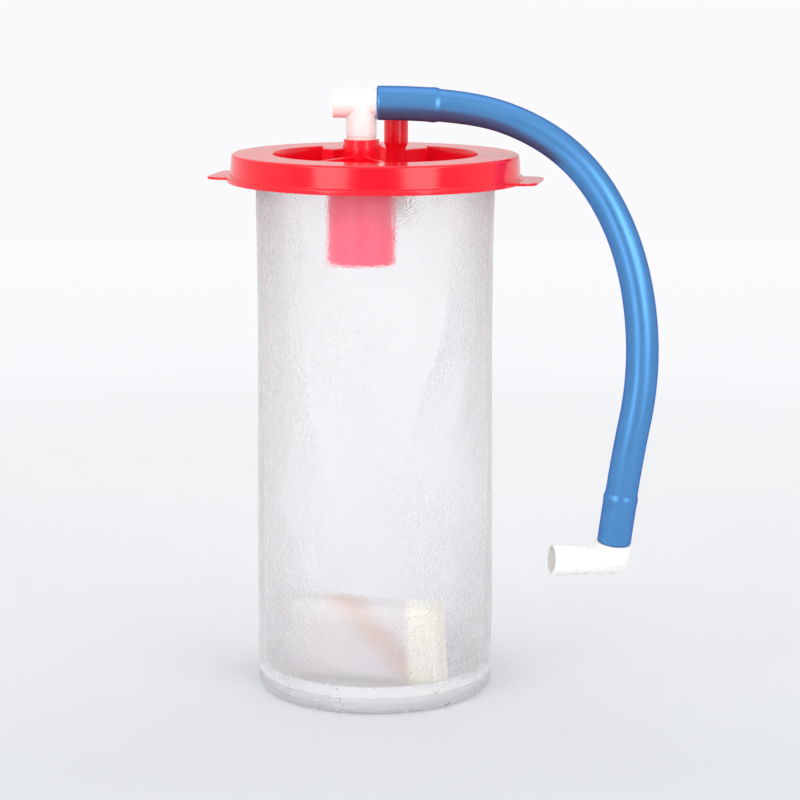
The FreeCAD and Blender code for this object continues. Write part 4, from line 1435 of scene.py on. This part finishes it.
@dataclass
class Studio:
    """Camera at the photograph's viewing angle, pale floor, softboxes and a white surround. Metres."""

    lens: float = 105.27
    camera_at: tuple[float, float, float] = (0.0, -1.0262, 0.3287)
    tilt: float = 0.1913
    yaw: float = 0.0108
    roll: float = 0.0031
    floor_r: float = 14.0
    floor_z: float = -0.0002
    ambient_level: float = 0.34
    ambient_rise: float = 0.62
    side_radiance: float = 2.6
    top_radiance: float = 0.5
    front_gloss: float = 0.22
    gloss_from: float = -0.75
    gloss_rise: float = 1.3
    white: tuple[float, float, float] = (0.975, 0.97, 0.99)
    far_from: float = 0.28
    far_to: float = 0.95
    tones_from: float = -0.4
    tones_to: float = 1.6
    lamp_aim: tuple[float, float, float] = (0.02, 0.0, 0.15)

    # Tones of the floor by distance behind the object, as paper near it and as backdrop further off: painted
    # shade, darker in front of the object and whiter behind it.
    floor_shade_tones: tuple[tuple[float, tuple[float, float, float]], ...] = (
        (-0.4, (0.7, 0.723, 0.75)), (-0.12, (0.735, 0.758, 0.786)), (0.04, (0.825, 0.843, 0.876)),
        (0.2, (0.9, 0.916, 0.952)), (0.4, (0.965, 0.978, 0.995)), (1.6, (0.97, 0.97, 0.985)),
    )
    far_shade_tones: tuple[tuple[float, tuple[float, float, float]], ...] = (
        (-0.4, (0.7, 0.723, 0.75)), (-0.12, (0.738, 0.761, 0.79)), (0.04, (0.83, 0.845, 0.877)),
        (0.2, (0.895, 0.911, 0.945)), (0.4, (0.93, 0.945, 0.972)), (0.65, (0.935, 0.95, 0.974)),
        (1.25, (0.957, 0.957, 0.974)), (1.6, (0.97, 0.967, 0.982)),
    )

    def camera(self) -> None:
        """Places the camera."""
        data = bpy.data.cameras.new("photo_camera")
        data.lens, data.sensor_width, data.sensor_fit = self.lens, 36.0, "HORIZONTAL"
        data.clip_start, data.clip_end = 0.01, 60.0
        right = Vector((math.cos(self.yaw), -math.sin(self.yaw), 0))
        ahead = Vector((math.sin(self.yaw) * math.cos(self.tilt), math.cos(self.yaw) * math.cos(self.tilt),
                        -math.sin(self.tilt)))
        up = right.cross(ahead)
        right, up = (right * math.cos(self.roll) + up * math.sin(self.roll),
                     up * math.cos(self.roll) - right * math.sin(self.roll))
        camera = bpy.data.objects.new("photo_camera", data)
        bpy.context.scene.collection.objects.link(camera)
        stance = Matrix((right, up, -ahead)).transposed().to_4x4()
        camera.matrix_world = Matrix.Translation(self.camera_at) @ stance
        bpy.context.scene.camera = camera

    def floor(self) -> None:
        """Lays a round pale floor with painted shade: darker in front of the object, whiter behind it and
        away from it.
        """
        rings = [0.0, 0.1, 0.2, 0.3, 0.5, 0.8, 1.2, 2.0, 4.0, 8.0, self.floor_r]
        points = [(r * math.cos(a), r * math.sin(a), self.floor_z) for r in rings
                  for a in np.linspace(0, 2 * math.pi, 96, endpoint=False)]
        mesh = mesh_of("studio_floor", np.array(points) / MM, ring_faces(len(rings), 96))
        if mesh.polygons[len(mesh.polygons) // 2].normal.z < 0:
            mesh.flip_normals()
        graph = NodeGraph("floor_paper")
        place = graph.place()
        level = graph.add("ShaderNodeSeparateXYZ")
        graph.join(place, "Vector", level, "Vector")
        depth = graph.spread(level, "Y", 0.0, 1.0, self.tones_from, self.tones_to)
        tones = []
        for tone_set in (self.floor_shade_tones, self.far_shade_tones):
            ramp = graph.add("ShaderNodeValToRGB")
            graph.join(depth, 0, ramp, "Fac")
            stops = ramp.color_ramp
            stops.elements.remove(stops.elements[0])
            for i, (y, tone) in enumerate(tone_set):
                stop = stops.elements[0] if i == 0 else stops.elements.new(0.5)
                stop.position = (y - self.tones_from) / (self.tones_to - self.tones_from)
                stop.color = (*tone, 1.0)
            tones.append(ramp)
        # Painted shade: the floor's colour is darker in front of the object and whiter behind it.
        graph.join(tones[0], "Color", graph.shader, "Base Color")
        grain = graph.bump(graph.noise(place, 300.0, 3.0), "Fac", 0.05, 0.0003)
        graph.join(grain, "Normal", graph.shader, "Normal")
        graph.surface(Roughness=0.9, Specular_IOR_Level=0.1)
        distance = graph.add("ShaderNodeVectorMath", operation="LENGTH")
        graph.join(place, "Vector", distance, 0)
        far = graph.add("ShaderNodeMapRange", interpolation_type="SMOOTHSTEP")
        far.inputs["From Min"].default_value = self.far_from
        far.inputs["From Max"].default_value = self.far_to
        graph.join(distance, "Value", far, "Value")
        rays = graph.add("ShaderNodeLightPath")
        seen = graph.add("ShaderNodeMath", operation="MAXIMUM")
        graph.join(rays, "Is Camera Ray", seen, 0)
        graph.join(rays, "Is Transmission Ray", seen, 1)
        any_seen = graph.add("ShaderNodeMath", operation="MAXIMUM")
        graph.join(seen, 0, any_seen, 0)
        graph.join(rays, "Is Glossy Ray", any_seen, 1)
        share = graph.add("ShaderNodeMath", operation="MULTIPLY")
        graph.join(any_seen, 0, share, 0)
        graph.join(far, 0, share, 1)
        plain = graph.add("ShaderNodeEmission")
        # Painted shade: the far backdrop's glow is also darker towards the front.
        graph.join(tones[1], "Color", plain, "Color")
        blend = graph.add("ShaderNodeMixShader")
        graph.join(share, 0, blend, 0)
        graph.join(graph.shader, 0, blend, 1)
        graph.join(plain, 0, blend, 2)
        graph.join(blend, 0, graph.output, "Surface")
        mesh.materials.append(graph.material)
        floor = bpy.data.objects.new("studio_floor", mesh)
        bpy.context.scene.collection.objects.link(floor)

    def softbox(self, name: str, at: tuple[float, float, float], size: tuple[float, float],
                radiance: float) -> None:
        """Hangs a rectangular softbox that faces the object.

        Args:
            name: The lamp's name.
            at: Its middle.
            size: Its width and height.
            radiance: How bright its face is.
        """
        data = bpy.data.lights.new(name, "AREA")
        data.shape, data.size, data.size_y = "RECTANGLE", size[0], size[1]
        data.energy = 4 * radiance * size[0] * size[1]
        lamp = bpy.data.objects.new(name, data)
        lamp.visible_camera = False
        bpy.context.scene.collection.objects.link(lamp)
        aim = (Vector(self.lamp_aim) - Vector(at)).to_track_quat("-Z", "Z")
        lamp.matrix_world = Matrix.Translation(at) @ aim.to_matrix().to_4x4()

    def surround(self) -> None:
        """A soft even surround, which is white where it is seen, mirrored or looked at through film."""
        world = bpy.data.worlds.new("surround")
        bpy.context.scene.world = world
        world.use_nodes = True
        nodes, links = world.node_tree.nodes, world.node_tree.links
        nodes.clear()
        output = nodes.new("ShaderNodeOutputWorld")
        soft, white, gloss = (nodes.new("ShaderNodeBackground") for _ in range(3))
        white.inputs["Color"].default_value = (*self.white, 1.0)
        rays = nodes.new("ShaderNodeLightPath")
        way = nodes.new("ShaderNodeTexCoord")
        split = nodes.new("ShaderNodeSeparateXYZ")
        links.new(way.outputs["Generated"], split.inputs[0])
        rise = nodes.new("ShaderNodeMath")
        rise.operation = "MULTIPLY_ADD"
        links.new(split.outputs["Z"], rise.inputs[0])
        rise.inputs[1].default_value = self.gloss_rise
        links.new(split.outputs["Y"], rise.inputs[2])
        above = nodes.new("ShaderNodeMath")
        above.operation = "MAXIMUM"
        links.new(split.outputs["Z"], above.inputs[0])
        level = nodes.new("ShaderNodeMath")
        level.operation = "MULTIPLY_ADD"
        links.new(above.outputs[0], level.inputs[0])
        level.inputs[1].default_value = self.ambient_rise
        level.inputs[2].default_value = self.ambient_level
        links.new(level.outputs[0], soft.inputs["Strength"])
        shade = nodes.new("ShaderNodeMapRange")
        shade.interpolation_type = "SMOOTHSTEP"
        shade.inputs["From Min"].default_value, shade.inputs["From Max"].default_value = self.gloss_from, 0.0
        shade.inputs["To Min"].default_value, shade.inputs["To Max"].default_value = self.front_gloss, 1.0
        links.new(rise.outputs[0], shade.inputs["Value"])
        links.new(shade.outputs[0], gloss.inputs["Strength"])
        seen = nodes.new("ShaderNodeMath")
        seen.operation = "MAXIMUM"
        links.new(rays.outputs["Is Camera Ray"], seen.inputs[0])
        links.new(rays.outputs["Is Transmission Ray"], seen.inputs[1])
        mirrored, shown = nodes.new("ShaderNodeMixShader"), nodes.new("ShaderNodeMixShader")
        links.new(rays.outputs["Is Glossy Ray"], mirrored.inputs[0])
        links.new(soft.outputs[0], mirrored.inputs[1])
        links.new(gloss.outputs[0], mirrored.inputs[2])
        links.new(seen.outputs[0], shown.inputs[0])
        links.new(mirrored.outputs[0], shown.inputs[1])
        links.new(white.outputs[0], shown.inputs[2])
        links.new(shown.outputs[0], output.inputs["Surface"])

    def build(self) -> None:
        """Sets the whole studio up."""
        for item in [o for o in bpy.data.objects if o.type in {"LIGHT", "CAMERA"} or o.name == "Cube"]:
            bpy.data.objects.remove(item)
        self.camera()
        self.floor()
        self.softbox("softbox_left", (-0.82, -1.04, 0.62), (0.78, 1.05), self.side_radiance)
        self.softbox("softbox_right", (0.82, -1.02, 0.62), (0.78, 1.05), self.side_radiance)
        self.softbox("softbox_top", (0.0, 0.35, 1.6), (1.6, 1.2), self.top_radiance)
        self.surround()
        bpy.context.scene.view_settings.view_transform = "Standard"


def dress(node: str, finish: MouldedPlastic | ClearPlastic) -> None:
    """Gives a node of the construction its finish.

    Args:
        node: The node's name.
        finish: Its finish.
    """
    target = frame["nodes"][node]
    target.data.materials.clear()
    target.data.materials.append(finish.build())
    LOG.info("%s: kept, dressed as %s", node, finish.name)


def main() -> None:
    """Builds the scene."""
    logging.basicConfig(level=logging.INFO, format="%(name)s: %(message)s")
    Studio().build()
    white = MouldedPlastic("connector_white", (0.93, 0.915, 0.89), 0.28, peel=0.03, subsurface=0.25,
                           glow_radius=(1.0, 0.85, 0.7), glow_scale=0.002, edge_round=0.25)
    elbow = HangingElbow().build(white)
    LinkTube().build(TubeRubber(), elbow)
    PortTee().build(white)
    MouldedLid().build(MouldedPlastic("lid_red", (0.93, 0.005, 0.021), 0.15, peel=0.04, edge_round=0.3))
    LinerBag().build(GrainedFilm())
    GelSachet().build(SachetFilm())
    red = MouldedPlastic("cage_red", (0.93, 0.006, 0.09), 0.3, peel=0.05)
    dress("valve_cage", red)
    dress("cage_grid", red)
    dress("base_dish", ClearPlastic())
    dress("shutoff_float", MouldedPlastic("float_white", (0.88, 0.88, 0.86), 0.35))
    dress("float_seal", MouldedPlastic("seal_soft", (0.8, 0.8, 0.78), 0.55))
    dress("port_filter", MouldedPlastic("filter_white", (0.86, 0.86, 0.84), 0.85, peel=0.6))
    dress("patient_check_valve", ClearPlastic("valve_soft", (0.95, 0.93, 0.92), 0.25, 0.85))


if __name__ == "__main__":
    main()
